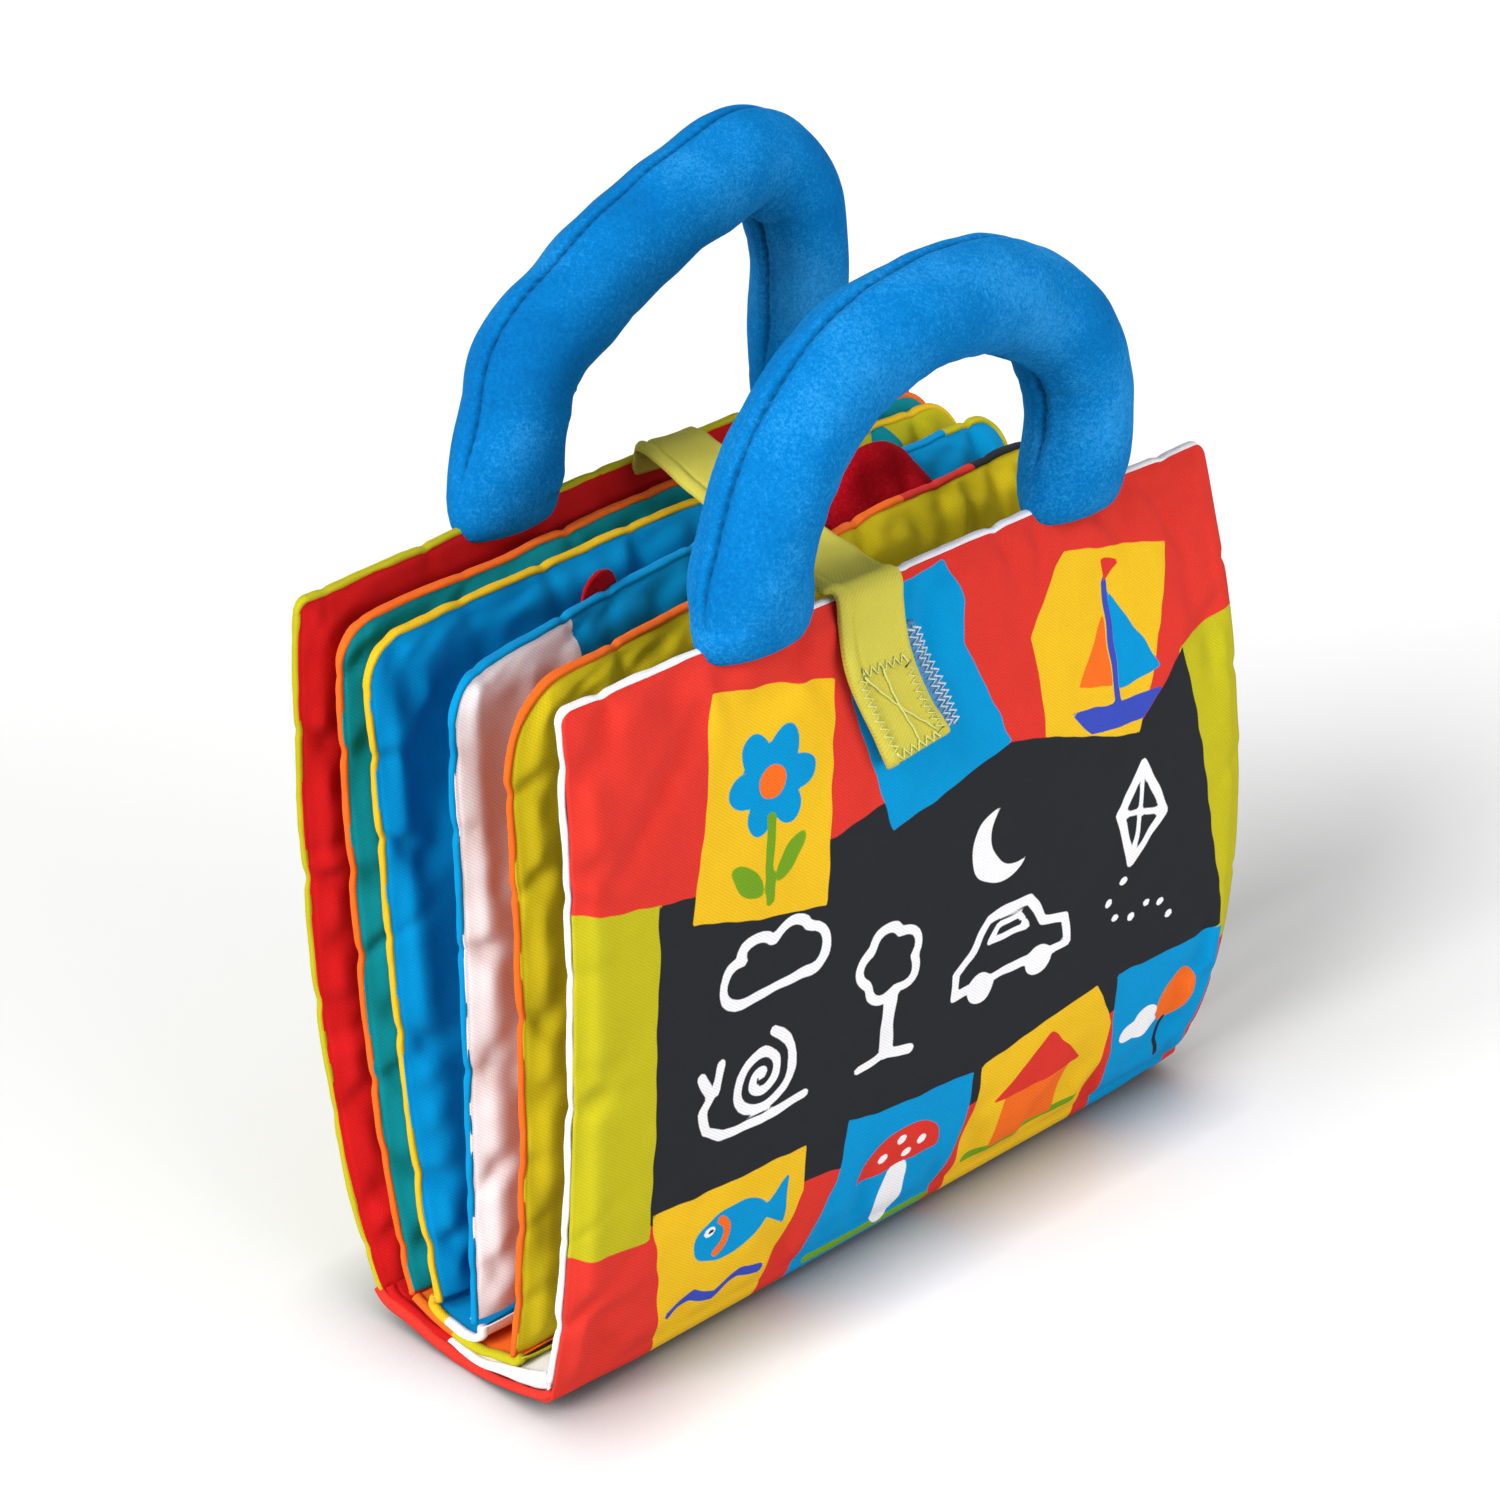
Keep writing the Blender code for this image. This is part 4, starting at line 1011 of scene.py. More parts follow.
def under_rows(leaf, side, points, uv):
    """Rows that carry a cover's outer cloth on under the spine: a quarter ellipse from the
    cover's foot to the flat of the spine."""
    first, flat_y = points[0], side * FLAT_HALF_WIDTH
    turns = np.linspace(0, PI / 2, 11)[1:][::-1]
    rows, maps = [], []
    for turn in turns:
        y = flat_y + (first[:, 1] - flat_y) * math.cos(turn)
        z = leaf.fold_z - (leaf.fold_z - UNDERSIDE_Z) * math.sin(turn) + 0 * y
        z = z + end_lift(first[:, 0], y) * math.sin(turn) ** 2
        rows.append(np.stack([first[:, 0], y, z], -1))
        maps.append(np.stack([uv[0, :, 0], uv[0, :, 1] - COVER_FOOT_WEAVE * turn], -1))
    return np.concatenate([np.stack(rows), points]), np.concatenate([np.stack(maps), uv])


def dress(body, pieces, nodes):
    """Pieces that ride on one body and stand for its nodes, which are hidden."""
    for piece in pieces:
        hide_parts(*nodes)
        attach(piece, body)


def dress_bending(piece, nodes):
    """A padded piece that stands for nodes, which are hidden, with its placement baked into its points."""
    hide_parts(*nodes)
    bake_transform(piece)


def make_front_cover():
    face = Face(-1, step=1.1, seed=11, swell=1.1, folds=0.6, creases=FRONT_CREASES, puff=0.5)
    points, uv = leaf_face(FRONT_COVER, face)
    surface = Cloth(points, -1)
    points, uv = under_rows(FRONT_COVER, -1, points, uv)
    fields = cover_print(uv[..., 0], uv[..., 1])
    front = cloth_piece("front_cover_print", points, uv, cover_cotton, fields=fields)
    nodes = ("front_cover_front_cloth", "front_cover_wadding")
    dress_bending(front, nodes)
    face = Face(1, step=3.0, seed=21, swell=0.9, folds=0.35)
    points, uv = rolled_foot(FRONT_COVER, *leaf_face(FRONT_COVER, face))
    back = cloth_piece("front_cover_lining", points, uv, twills["white"], flip=True)
    rim = leaf_rim(FRONT_COVER, twills["white"], 31, 0.85, low=1.5)
    dress("front_cover", (back, rim), ["front_cover_back_cloth"])
    return surface


def make_page(leaf, seeds, coats, creases=(), fields=None, rim_fields=None):
    """A page: front cloth, back cloth and rim; its wadding and film are hidden and the front cloth stands for
    them.
    """
    face = Face(-1, step=1.4, seed=seeds, swell=1.2, folds=0.5, creases=creases, puff=1.3)
    points, uv = leaf_face(leaf, face)
    before = Cloth(points, -1)
    points, uv = rolled_foot(leaf, points, uv)
    values = fields(uv[..., 0], uv[..., 1]) if fields else None
    front = cloth_piece(f"{leaf.name}_face", points, uv, coats[0], fields=values)
    nodes = [f"{leaf.name}_{part}" for part in ("front_cloth", "wadding", "crinkle_film")]
    dress(leaf.name, [front], nodes)
    face = Face(1, step=2.4, seed=seeds + 10, swell=0.6, folds=0.3, puff=0.2)
    points, uv = leaf_face(leaf, face)
    behind = Cloth(points, 1)
    points, uv = rolled_foot(leaf, points, uv)
    back = cloth_piece(f"{leaf.name}_reverse", points, uv, coats[1], flip=True)
    rim = leaf_rim(leaf, coats[2], seeds + 20, 0.2, rim_fields)
    dress(leaf.name, (back, rim), [f"{leaf.name}_back_cloth"])
    return before, behind


def make_back_cover():
    face = Face(-1, step=1.4, seed=61, swell=1.2, folds=0.6, creases=BACK_CREASES, puff=1.3)
    points, uv = leaf_face(BACK_COVER, face)
    surface = Cloth(points, -1)
    points, uv = rolled_foot(BACK_COVER, points, uv)
    inner = cloth_piece("back_cover_lining", points, uv, lining_cotton_with_shade)
    nodes = ("back_cover_front_cloth", "back_cover_wadding")
    dress("back_cover", [inner], nodes)
    face = Face(1, step=2.4, seed=71, swell=1.6, folds=0.5)
    points, uv = under_rows(BACK_COVER, 1, *leaf_face(BACK_COVER, face))
    outer = cloth_piece("back_cover_outer", points, uv, twills["lime"], flip=True)
    nodes = ["back_cover_back_cloth"]
    dress_bending(outer, nodes)
    rim = leaf_rim(BACK_COVER, twills["lime"], 81, 0.4)
    dress("back_cover", [rim], nodes)
    return surface


# Creases that start at a seam: x, h, x, h of the line, its width and its depth
FRONT_CREASES = (
    (-52, 188, -34, 160, 3.0, 0.9), (-76, 187, -70, 168, 2.6, 0.6), (68, 187, 84, 172, 2.8, 0.9),
    (96, 187, 112, 158, 3.2, 1.0), (48, 188, 44, 168, 2.4, 0.6), (122, 150, 96, 138, 3.0, 0.7),
    (-124, 150, -106, 140, 2.6, 0.7), (-124, 96, -104, 92, 3.0, 0.6), (124, 100, 104, 110, 3.0, 0.7),
)
PAGE_1_CREASES = (
    (72, 180, 66, 150, 2.6, 1.1), (84, 180, 82, 152, 2.4, 0.8), (96, 178, 100, 150, 2.6, 0.9),
)
BACK_CREASES = (
    (-124, 118, -108, 122, 2.8, 1.0), (-124, 66, -104, 72, 3.0, 1.0), (-124, 20, -110, 26, 2.6, 0.8),
)


# Spine and folds


def profile_line(knots, count=60):
    """A smooth line through y and z knots, by cubic weights over their spacing."""
    knots = np.array(knots, float)
    at = run_length(knots)
    fine = np.linspace(0, at[-1], count)
    return spline_weights(at, fine) @ knots, fine


def end_roll(name, x, line, normal, run, halves, around, coat, marks=None):
    """Cloth rolled over a strip's end: an oval cord on the profile line, with its half sizes
    along the spine and along the line's normal, and its weave's width round it for a radian."""
    angle = full_turn(12)
    path = np.stack([x, line[:, 0], line[:, 1]], -1)
    out = np.stack([0 * run, normal[:, 0], normal[:, 1]], -1)
    points = oval_rings(path, angle, (1, 0, 0), halves[0], out, halves[1])
    fields = {key: make(points[..., 1]) for key, make in (marks or {}).items()}
    return tube_piece(name, points, tube_weave(angle, around, run), coat, fields)


def fold_band(name, knots, half_length, half_thick, coats, slots, nodes, seed, marks=None, grow=0):
    """A padded strip along the spine: the profile line moved out along its normal on both
    sides, closed at each end of the spine by a rolled rim. It may grow thicker to the front.
    Coats are the inside's, the outside's and the rims'."""
    line, run = profile_line(knots)
    slope = unit(np.gradient(line, axis=0))
    normal = np.stack([-slope[:, 1], slope[:, 0]], -1)
    normal *= np.sign(normal[:, 1:2].mean()) or 1
    share = np.linspace(-1, 1, 91)
    made = []
    for side, coat in ((1, coats[0]), (-1, coats[1])):
        x = share[None] * half_length + 0 * run[:, None]
        end = np.clip(half_length - np.abs(x), 0, None)
        thick = half_thick * (0.35 + 0.65 * (1 - np.exp(-end / 4)))
        thick = thick * (1 + grow * smooth(-line[:, 0:1], 5, 27))
        wrinkle = ripples(x * 0.5, run[:, None] + 0 * x, 12, seed + side) * 0.35 * np.exp(-end / 40)
        lift = side * (thick + wrinkle)
        y = line[:, 0:1] + normal[:, 0:1] * lift
        z = line[:, 1:2] + normal[:, 1:2] * lift
        points = np.stack([x, y, z], -1)
        uv = np.stack([x, run[:, None] + 0 * x], -1)
        fields = {key: make(y) for key, make in (marks or {}).items()}
        called = f"{name}_{'inside' if side > 0 else 'outside'}"
        made.append(cloth_piece(called, points, uv, coat, 0.4, flip=side < 0, fields=fields))
    for end, mark in ((-1, "left"), (1, "right")):
        x = end * (half_length - 0.6 + 0.4 * ripple_line(run, 14, seed + 7))
        deep = (half_thick + 0.35) * (1 + 0.12 * ripple_line(run, 8, seed + 9))
        deep = deep * (1 + grow * smooth(-line[:, 0], 5, 27))
        called = f"{name}_{mark}_rim"
        made.append(end_roll(called, x, line, normal, run, (1.5, deep), 1.8, coats[2], marks))
    for piece, slot in zip(made, slots):
        dress("spine", [piece], nodes)


# Profiles across the spine as y and z, and where the pieces on them end along the spine
SPINE_PROFILE = (
    (34.6, 8.6), (31, 5.9), (24, 4.4), (12, 2.7), (2, 1.9), (-6, 1.7), (-14, 2.5), (-24, 4.5),
    (-30.5, 6.4), (-33.2, 8.8),
)
LINING_PROFILE = (
    (-30.5, 10.4), (-26, 8.4), (-19, 6.2), (-12, 4.6), (-5, 3.2), (1, 2.8), (9, 3.2), (20, 4.8),
    (28, 6.8), (31.5, 9.6),
)
OUTER_FOLD_PROFILE = (
    (-17.9, 10.0), (-16.4, 8.2), (-12, 7.0), (-7, 5.6), (-1.5, 4.3), (4, 4.4), (12, 5.4), (19, 6.9),
    (24, 8.6),
)
INNER_FOLD_PROFILE = (
    (-2.9, 12), (-2.3, 9.4), (0.4, 6.9), (4, 6.4), (8, 6.9), (13.5, 7.6), (17, 9.4), (16.4, 12),
)
SPINE_HALF_LENGTH = 125.5
TURN_IN_X = 124.6
LINING_HALF_LENGTH = 123.6
FOLD_HALF_LENGTH = 121.4


def make_spine():
    """The spine's flat red underside, and the cloth turned in at both of its ends."""
    lengthwise = np.linspace(-1, 1, 85) * SPINE_HALF_LENGTH
    x, y = np.meshgrid(lengthwise, np.linspace(-FLAT_HALF_WIDTH, FLAT_HALF_WIDTH, 25))
    points = np.stack([x, y, UNDERSIDE_Z + end_lift(x, y)], -1)
    made = [cloth_piece("spine_base", points, np.stack([x, y], -1), twills["red"], 0.5, flip=True)]
    line, run = profile_line(SPINE_PROFILE, 70)
    slope = unit(np.gradient(line, axis=0))
    normal = np.stack([-slope[:, 1], slope[:, 0]], -1)
    for end, mark in ((-1, "left"), (1, "right")):
        x = end * (TURN_IN_X + 0.3 * ripple_line(run, 16, 431 + end))
        deep = (1.2 + 0.7 * smooth(line[:, 0], -4, 12)) * (1 + 0.1 * ripple_line(run, 8, 433))
        called = f"spine_{mark}_turn_in"
        made.append(end_roll(called, x, line, normal, run, (1.3, deep), 1.5, twills["red"]))
    dress("spine", made, ("spine_outer_cloth", "spine_wadding"))


# Handles


class Handle(NamedTuple):
    """A handle's cover, middle x, rise, and its line as shares of the half span and rise."""

    name: str
    cover: Leaf
    x: float
    rise: float
    knots: tuple
    seed: int


FRONT_ARCH = (
    (-1, 0), (-1, 0.15), (-0.9, 0.45), (-0.72, 0.7), (-0.48, 0.87), (-0.14, 0.98), (0.13, 1),
    (0.46, 0.94), (0.79, 0.77), (0.94, 0.6), (1.01, 0.4), (1.02, 0.18), (1, 0),
)
BACK_ARCH = (
    (-1, 0), (-0.97, 0.12), (-0.91, 0.3), (-0.83, 0.48), (-0.52, 0.67), (-0.22, 0.79),
    (0.11, 0.91), (0.48, 1), (0.71, 0.97), (0.87, 0.84), (0.96, 0.64), (0.99, 0.37),
    (1, 0.16), (1, 0),
)
FRONT_HANDLE = Handle("front_handle", FRONT_COVER, 3, 58.5, FRONT_ARCH, 101)
BACK_HANDLE = Handle("back_handle", BACK_COVER, 15, 65.5, BACK_ARCH, 131)
HANDLE_RADIUS = 14.5
STITCH_PITCH = 3.3
FOOT_HALF_WIDE = 17.0
FOOT_HALF_DEEP = 12.4
HALF_SPAN = 63
PIVOT_RISE = 2.2
FOOT_STUB = 4.5
# A foot's rings: height over the cover's top seam, half width and half thickness. The pile
# folds down over the seam before it turns up into the leg.
FOOT_RINGS = (
    (0.6, 8.0, 1.0), (-2.2, 11.0, 3.2), (-4.2, 13.6, 5.0), (-4.4, 15.4, 6.9), (-3.2, 16.8, 8.6),
    (-0.8, 17.6, 10.1), (2.2, 17.8, 11.3), (5.6, 17.4, 12.4),
)


def handle_line(handle):
    """The handle's rings (place, half width, half thickness) from foot to foot, the run's
    direction at each, and the direction across the arch."""
    top = handle.cover.fold_z + handle.cover.height
    ends = np.array([handle.x - HALF_SPAN, handle.x + HALF_SPAN], float)
    y = slack_y(handle.cover, ends, np.array([top, top], float))
    knots = np.array(handle.knots)
    at = spline_weights(np.arange(len(knots)), np.linspace(0, len(knots) - 1, 900)) @ knots
    line = np.stack([
        handle.x + HALF_SPAN * at[:, 0],
        y[0] + (y[1] - y[0]) * (1 + at[:, 0]) / 2,
        top + PIVOT_RISE + FOOT_STUB + handle.rise * at[:, 1],
    ], -1)
    length = run_length(line)
    even = np.arange(0, length[-1], 0.85)
    line = np.stack([np.interp(even, length, line[:, axis]) for axis in range(3)], -1)
    from_end = np.minimum(even, even[-1] - even)
    fill = 1 - (1 - np.clip((from_end + 1.2) / 15, 0, 1)) ** 2
    wide = FOOT_HALF_WIDE + (HANDLE_RADIUS - FOOT_HALF_WIDE) * smooth(from_end, 0, 17)
    deep = FOOT_HALF_DEEP + (HANDLE_RADIUS - FOOT_HALF_DEEP) * fill
    foot = np.array(FOOT_RINGS)
    feet = []
    for end, order in ((0, slice(None)), (1, slice(None, None, -1))):
        place = np.stack([0 * foot[:, 0] + ends[end], 0 * foot[:, 0] + y[end], top + foot[:, 0]], -1)
        feet.append(np.hstack([place, foot[:, 1:]])[order])
    rings = np.vstack([feet[0], np.hstack([line, wide[:, None], deep[:, None]]), feet[1]])
    arch_run = unit(np.gradient(line, axis=0))
    stub = np.tile((0.0, 0.0, 1.0), (len(foot), 1))
    across = unit(np.array((y[1] - y[0], ends[0] - ends[1], 0.0)))
    return rings, np.vstack([stub, arch_run, -stub]), across


def handle_tube(handle):
    """A stuffed velour tube on its centre line, with pinched feet that fold over the cover's
    seam, soft lumps, creases inside its bends, and a stitched groove down both of its sides."""
    rings, run, across = handle_line(handle)
    path = rings[:, :3]
    length = run_length(path)
    from_end = np.minimum(length, length[-1] - length)[:, None]
    side = unit(np.cross(run, across))
    turns = full_turn(88)
    turns = turns - 0.36 * np.sin(2 * turns)
    bend = np.linalg.norm(np.gradient(run, length, axis=0), axis=1)[:, None]
    wander = 0.3 * ripples(length[:, None], 0 * turns[None], 20, handle.seed + 6)
    off = (np.abs(np.sin(turns)) * HANDLE_RADIUS)[None] + wander
    start = smooth(from_end, 14, 24)
    dots = 0.5 - 0.5 * np.cos(length[:, None] * 2 * PI / STITCH_PITCH)
    groove = bell(off) * start
    roll = 0.45 * bell((np.abs(off) - 2.8) / 1.5) * start
    lumps = 0.55 * ripples(length[:, None], turns[None] * 11, 30, handle.seed)
    lumps = lumps + 0.25 * ripples(length[:, None], turns[None] * 11, 12, handle.seed + 1)
    inner = np.clip(np.cos(turns[None]), 0, 1) ** 2
    puckers = ripples(length[:, None], 0 * turns[None], 8, handle.seed + 2)
    crease = inner * np.clip(bend * 22, 0, 1.3) * 0.8 * puckers
    grown = (lumps + crease + roll - groove * (0.75 + 0.35 * dots)) * smooth(from_end, 4, 26)
    wide = (rings[:, 3:4] + grown) * np.cos(turns)[None]
    deep = (rings[:, 4:5] + grown) * np.sin(turns)[None]
    points = path[:, None] + side[:, None] * wide[..., None] + across * deep[..., None]
    uv = tube_weave(turns, HANDLE_RADIUS, length)
    # The seam field marks where the velour is painted darker along its stitched groove, a painted shade of
    # the groove.
    seam = bell(off / 0.7) * start * (0.6 + 0.4 * dots)
    made = tube_piece(f"{handle.name}_velour", points, uv, blue_velour, {"seam": seam})
    nodes = (f"{handle.name}_sleeve", f"{handle.name}_stuffing")
    dress_bending(made, nodes)


blue_velour = velour("blue cut-pile velour", PLUSH, "#045C9E", "#349ADE", seams=True)
wine_velour = velour("wine red cut-pile velour", WINE, "#7A0610", "#C02030")

# Strap and tapes

# The strap's places along the spine as shares of the cover's width, how far it hangs down the
# front cover, its width flat and as a tube, its thickness, the slant of its cut end, and its
# box of stitches: half width, and the ends from the strap's end
STRAP_X_SHARES = (0.056, 0.02, -0.03, -0.087, -0.085, -0.067, -0.046)
STRAP_DROP = 44
STRAP_HALF_TUBE = 11.4
STRAP_THICK = 2.0
CUT_SLANT = 0.14
BOX_HALF = 8.3
BOX_END, BOX_START = 3, 29
# The hook tape under it: its half width, ends from the strap's end, drop and thickness
HOOK_HALF_WIDTH = 9.5
HOOK_END, HOOK_START = 2.5, 30.5
HOOK_DROP = 0.35
HOOK_THICK = 0.9
# The loop tape on the cover: its middle along the spine, half width, height and slant
TAPE_X = -12
TAPE_HALF_WIDTH = 13
TAPE_HEIGHT = 32
TAPE_SLANT = 0.45


def strap_x(share):
    return FRONT_COVER.width * np.interp(share, np.linspace(0, 1, len(STRAP_X_SHARES)), STRAP_X_SHARES)


def strap_route(front, back):
    """Knots from the back cover's top seam, over the pages and down the front cover."""
    top = FRONT_COVER.fold_z + FRONT_COVER.height
    x0, xe = strap_x(0), strap_x(0.5)
    y0 = float(back.y(x0, top - 6)) - 1.2
    ye = float(slack_y(FRONT_COVER, np.array(xe), np.array(top))) + 1.9
    yf = ye - 3.8
    knots = [(x0, y0, top - 4.5), (x0, y0, top - 0.3), (x0, y0 - 3, top + 2)]
    knots.append(((x0 + xe) / 2, (y0 + ye) / 2, top + 0.2))
    knots.append((xe, ye + 3, top + 0.9))
    knots.append((xe, yf - 0.9, top + 0.9))
    for share in (0.12, 0.32, 0.5, 0.68, 0.84, 1):
        x, z = strap_x(0.5 + 0.5 * share), top - STRAP_DROP * share
        x = x - 3.0 * float(smooth(share, 0, 0.3) - smooth(share, 0.5, 1))
        knots.append((x, float(front.y(x, min(z, top - 3))) - 2.3 - 1.2 * share**4, z))
    return np.array(knots, float)


def strap_frame(front, back, count=150):
    knots = strap_route(front, back)
    at = run_length(knots)
    fine = np.linspace(0, at[-1], count)
    path = spline_weights(at, fine) @ knots
    run = np.gradient(path, axis=0)
    out = unit(np.stack([0 * fine, run[:, 2], -run[:, 1]], -1))
    return path, out, fine


def strap_points(path, out, across, lift):
    """Points off the strap's path, across it along the spine and lifted along its outward way."""
    return path[:, None] + out[:, None] * lift[..., None] + np.array((1.0, 0, 0)) * across[..., None]


def boxed(wave, power):
    """A cosine or sine with its size raised to a power below one, which squares an oval."""
    return np.sign(wave) * np.abs(wave) ** power


def make_strap(path, out, length):
    """A folded twill strap: a closed flat tube whose left edge is a folded lip with a seam,
    cut a little askew at its end."""
    half, thick = STRAP_HALF_TUBE, STRAP_THICK
    angle = full_turn(72)
    along = length[:, None]
    across = half * boxed(np.cos(angle), 0.35) + 0 * along
    lift = thick / 2 + thick / 2 * boxed(np.sin(angle), 0.35) + 0 * along
    upper = smooth(lift, thick * 0.5, thick * 0.9)
    lip = 0.65 * bell((across + half - 2.2) / 1.9) + 0.3 * bell((across - half + 1.6) / 1.3)
    groove = 0.85 * bell((across + half - 4.5) / 0.5)
    wrinkle = 0.24 * ripples(across * 1.4, along, 16, 201) + 0.12 * ripples(across, along, 6, 202)
    taper = smooth(length[-1] - along, 0, 2.2) * 0.5 + 0.5
    lift = (lift + upper * (lip - groove + wrinkle)) * taper
    near_end = smooth(along, length[-1] - 14, length[-1])
    across = across + 0.4 * ripple_line(along, 24, 203)
    points = strap_points(path, out, across, lift)
    points[..., 2] += near_end * across * CUT_SLANT
    uv = np.stack([across, along + 0 * across], -1)
    made = tube_piece("closing_strap_twill", points, uv, strap_cotton)
    dress("closing_tab", [made], ["closing_strap"])


def zigzag_line(path, out, length, corners, pitch, swing, lift):
    """A zigzag through corners given as across and distance from the strap's end."""
    dots = []
    for (a0, d0), (a1, d1) in zip(corners, corners[1:]):
        span = math.hypot(a1 - a0, d1 - d0)
        steps = max(2, round(span / pitch) * 2)
        share = np.arange(steps) / steps
        side = swing / 2 * np.where(np.arange(steps) % 2, 1, -1)
        aside = a0 + share * (a1 - a0) + side * (d1 - d0) / span
        dots += list(zip(aside, d0 + share * (d1 - d0) - side * (a1 - a0) / span))
    dots = np.array(dots + [corners[-1]])
    weights = spline_weights(length, length[-1] - dots[:, 1])
    line = weights @ path + (weights @ out) * lift + np.outer(dots[:, 0], (1, 0, 0))
    line[:, 2] += smooth(-dots[:, 1], -14, 0) * dots[:, 0] * CUT_SLANT
    return line


def make_strap_stitching(path, out, length):
    """A zigzag box near the strap's end, two lines that cross it, one slanting and one upright."""
    half, low, high = BOX_HALF, BOX_END, BOX_START
    corners = [(-half, low), (half, low), (half, high), (-half, high), (-half, low)]
    box = zigzag_line(path, out, length, corners, 2.6, 2.6, 2.5)
    made = [thread_piece("closing_strap_box_stitch", box, 0.34, strap_thread)]
    slanting = [(-half + 1, high - 1), (half - 1, low + 1)]
    upright = [(-0.5, high), (0.5, low)]
    for mark, ends in (("a", slanting), ("b", upright)):
        line = zigzag_line(path, out, length, ends, 5.0, 0.25, 2.45)
        made.append(thread_piece(f"closing_strap_cross_stitch_{mark}", line, 0.3, strap_thread))
    dress("closing_tab", made, ["closing_strap_stitching"])


def make_hook_tape(path, out, length):
    """The hook tape under the strap's end, a strip that follows its route."""
    place = length[-1] - np.linspace(HOOK_START, HOOK_END, 15)
    weights = spline_weights(length, place)
    across = np.linspace(-1, 1, 9)[None] * HOOK_HALF_WIDTH + 0 * place[:, None]
    points = strap_points(weights @ path, weights @ out, across, np.full(across.shape, -HOOK_DROP))
    uv = np.stack([across, place[:, None] + 0 * across], -1)
    hooks = cloth_piece("hook_tape_pile", points, uv, tape_pile, HOOK_THICK)
    dress("closing_tab", [hooks], ["closing_strap_hook_tape"])


def make_loop_tape(front):
    """The loop tape on the cover: a low cushion sewn down with a zigzag seam, its sides
    slanting with the strap."""
    tall, half = TAPE_HEIGHT, TAPE_HALF_WIDTH
    top = FRONT_COVER.fold_z + FRONT_COVER.height - STRAP_DROP + tall
    z = np.linspace(top - tall, top, 33)[:, None]
    aside = np.linspace(-1, 1, 27)[None] * half + 0 * z
    x = TAPE_X + aside + TAPE_SLANT * (top - z - tall / 2)
    height = z + 0 * x
    edge = np.minimum(half - np.abs(aside), np.minimum(height - z[0], z[-1] - height))
    lift = 0.6 + 0.9 * smooth(edge, 0, 1.4) + 0.12 * ripples(x * 2, height, 6, 301)
    points = np.stack([x, front.y(x, height) - lift, height], -1)
    tape = cloth_piece("loop_tape_pile", points, np.stack([x, height], -1), tape_pile, 0.5)
    dress("front_cover", [tape], ["loop_tape"])
    steps = np.arange(0, 29)
    z = top - 1.2 - steps * 1.05
    for mark, aside in (("a", 9.3), ("b", 11.9)):
        x = TAPE_X + aside + 1.3 * np.where(steps % 2, 1, -1) + TAPE_SLANT * (top - z - tall / 2)
        line = np.stack([x, front.y(x, z) - 1.8, z], -1)
        seam = thread_piece(f"loop_tape_zigzag_{mark}", line, 0.42, pale_thread, up=(0, 1, 0))
        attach(seam, "front_cover")


strap_cotton = cotton_twill("lime strap twill", STRAP_LIME, pitch=0.8)
# The loop tape's second, pale colour is its painted highlight.
tape_pile = loop_pile("blue loop tape", TAPE_BLUE, "#6DB4EA")
strap_thread = sewing_thread("lime thread", "#E2E486")
pale_thread = sewing_thread("pale blue thread", "#D2EAF8")
white_thread = sewing_thread("white thread", "#E8ECF0")

# The round pad and the ribbon tab on page 2: places along the spine, how far they stand over
# the page's top seam, and their sizes
PAD_X = 56
PAD_RADIUS = 28
PAD_OVER = 7
PAD_SWELL = 7.0
TAB_X = -56
TAB_HALF_WIDTH = 8
TAB_HEIGHT = 22
TAB_OVER = 4.5
TAB_HALF_THICK = 0.75
RIB_PITCH = 1.3


def make_velour_pad(page):
    """A round stuffed pad on page 2: a dome that is high in the middle and sewn down round
    its edge."""
    rings = np.linspace(0, 1, 16)[1:]
    turns = full_turn(64)
    r, t = np.meshgrid(rings, turns, indexing="ij")
    top = PAGE_2.fold_z + PAGE_2.height
    x = PAD_X + PAD_RADIUS * r * np.cos(t)
    z = top + PAD_OVER - PAD_RADIUS + PAD_RADIUS * r * np.sin(t)
    base = page.y(x, np.minimum(z, top - 3))
    lift = 0.4 + PAD_SWELL * np.sqrt(np.clip(1 - r**2.6, 0, 1)) + 0.3 * ripples(x, z, 14, 311)
    front = np.stack([x, base - lift, z], -1)
    back = np.stack([x, base - 0.35, z], -1)[::-1]
    points = np.concatenate([front, back])
    uv = np.stack([points[..., 0], points[..., 2]], -1)
    made = tube_piece("velour_pad_dome", points[:, ::-1], uv, wine_velour)
    dress("page_2", [made], ["velour_pad"])


def make_ribbon_tab(page):
    """A folded knit tab behind page 2: a thin flat tube with a rounded end and fine ribs."""
    rows = np.linspace(0, 1, 22)
    turns = full_turn(28)
    half = TAB_HALF_WIDTH * np.sqrt(np.clip(1 - rows**7, 0.02, 1))
    top = PAGE_2.fold_z + PAGE_2.height
    z = (top + TAB_OVER - TAB_HEIGHT * (1 - rows))[:, None]
    x = TAB_X + half[:, None] * boxed(np.cos(turns), 0.5)[None]
    height = z + 0 * x
    rib = 0.12 * np.sin(x * 2 * PI / RIB_PITCH)
    base = page.y(x, np.minimum(height, top - 3))
    y = base + 1.0 + (TAB_HALF_THICK + rib) * boxed(np.sin(turns), 0.5)[None]
    points = np.stack([x, y, height], -1)
    made = tube_piece("ribbon_tab_knit", points, np.stack([x, height], -1), knit)
    dress("page_2", [made], ["ribbon_tab"])


knit = cotton_twill("wine red ribbed knit", WINE, pitch=1.2, depth=0.2)


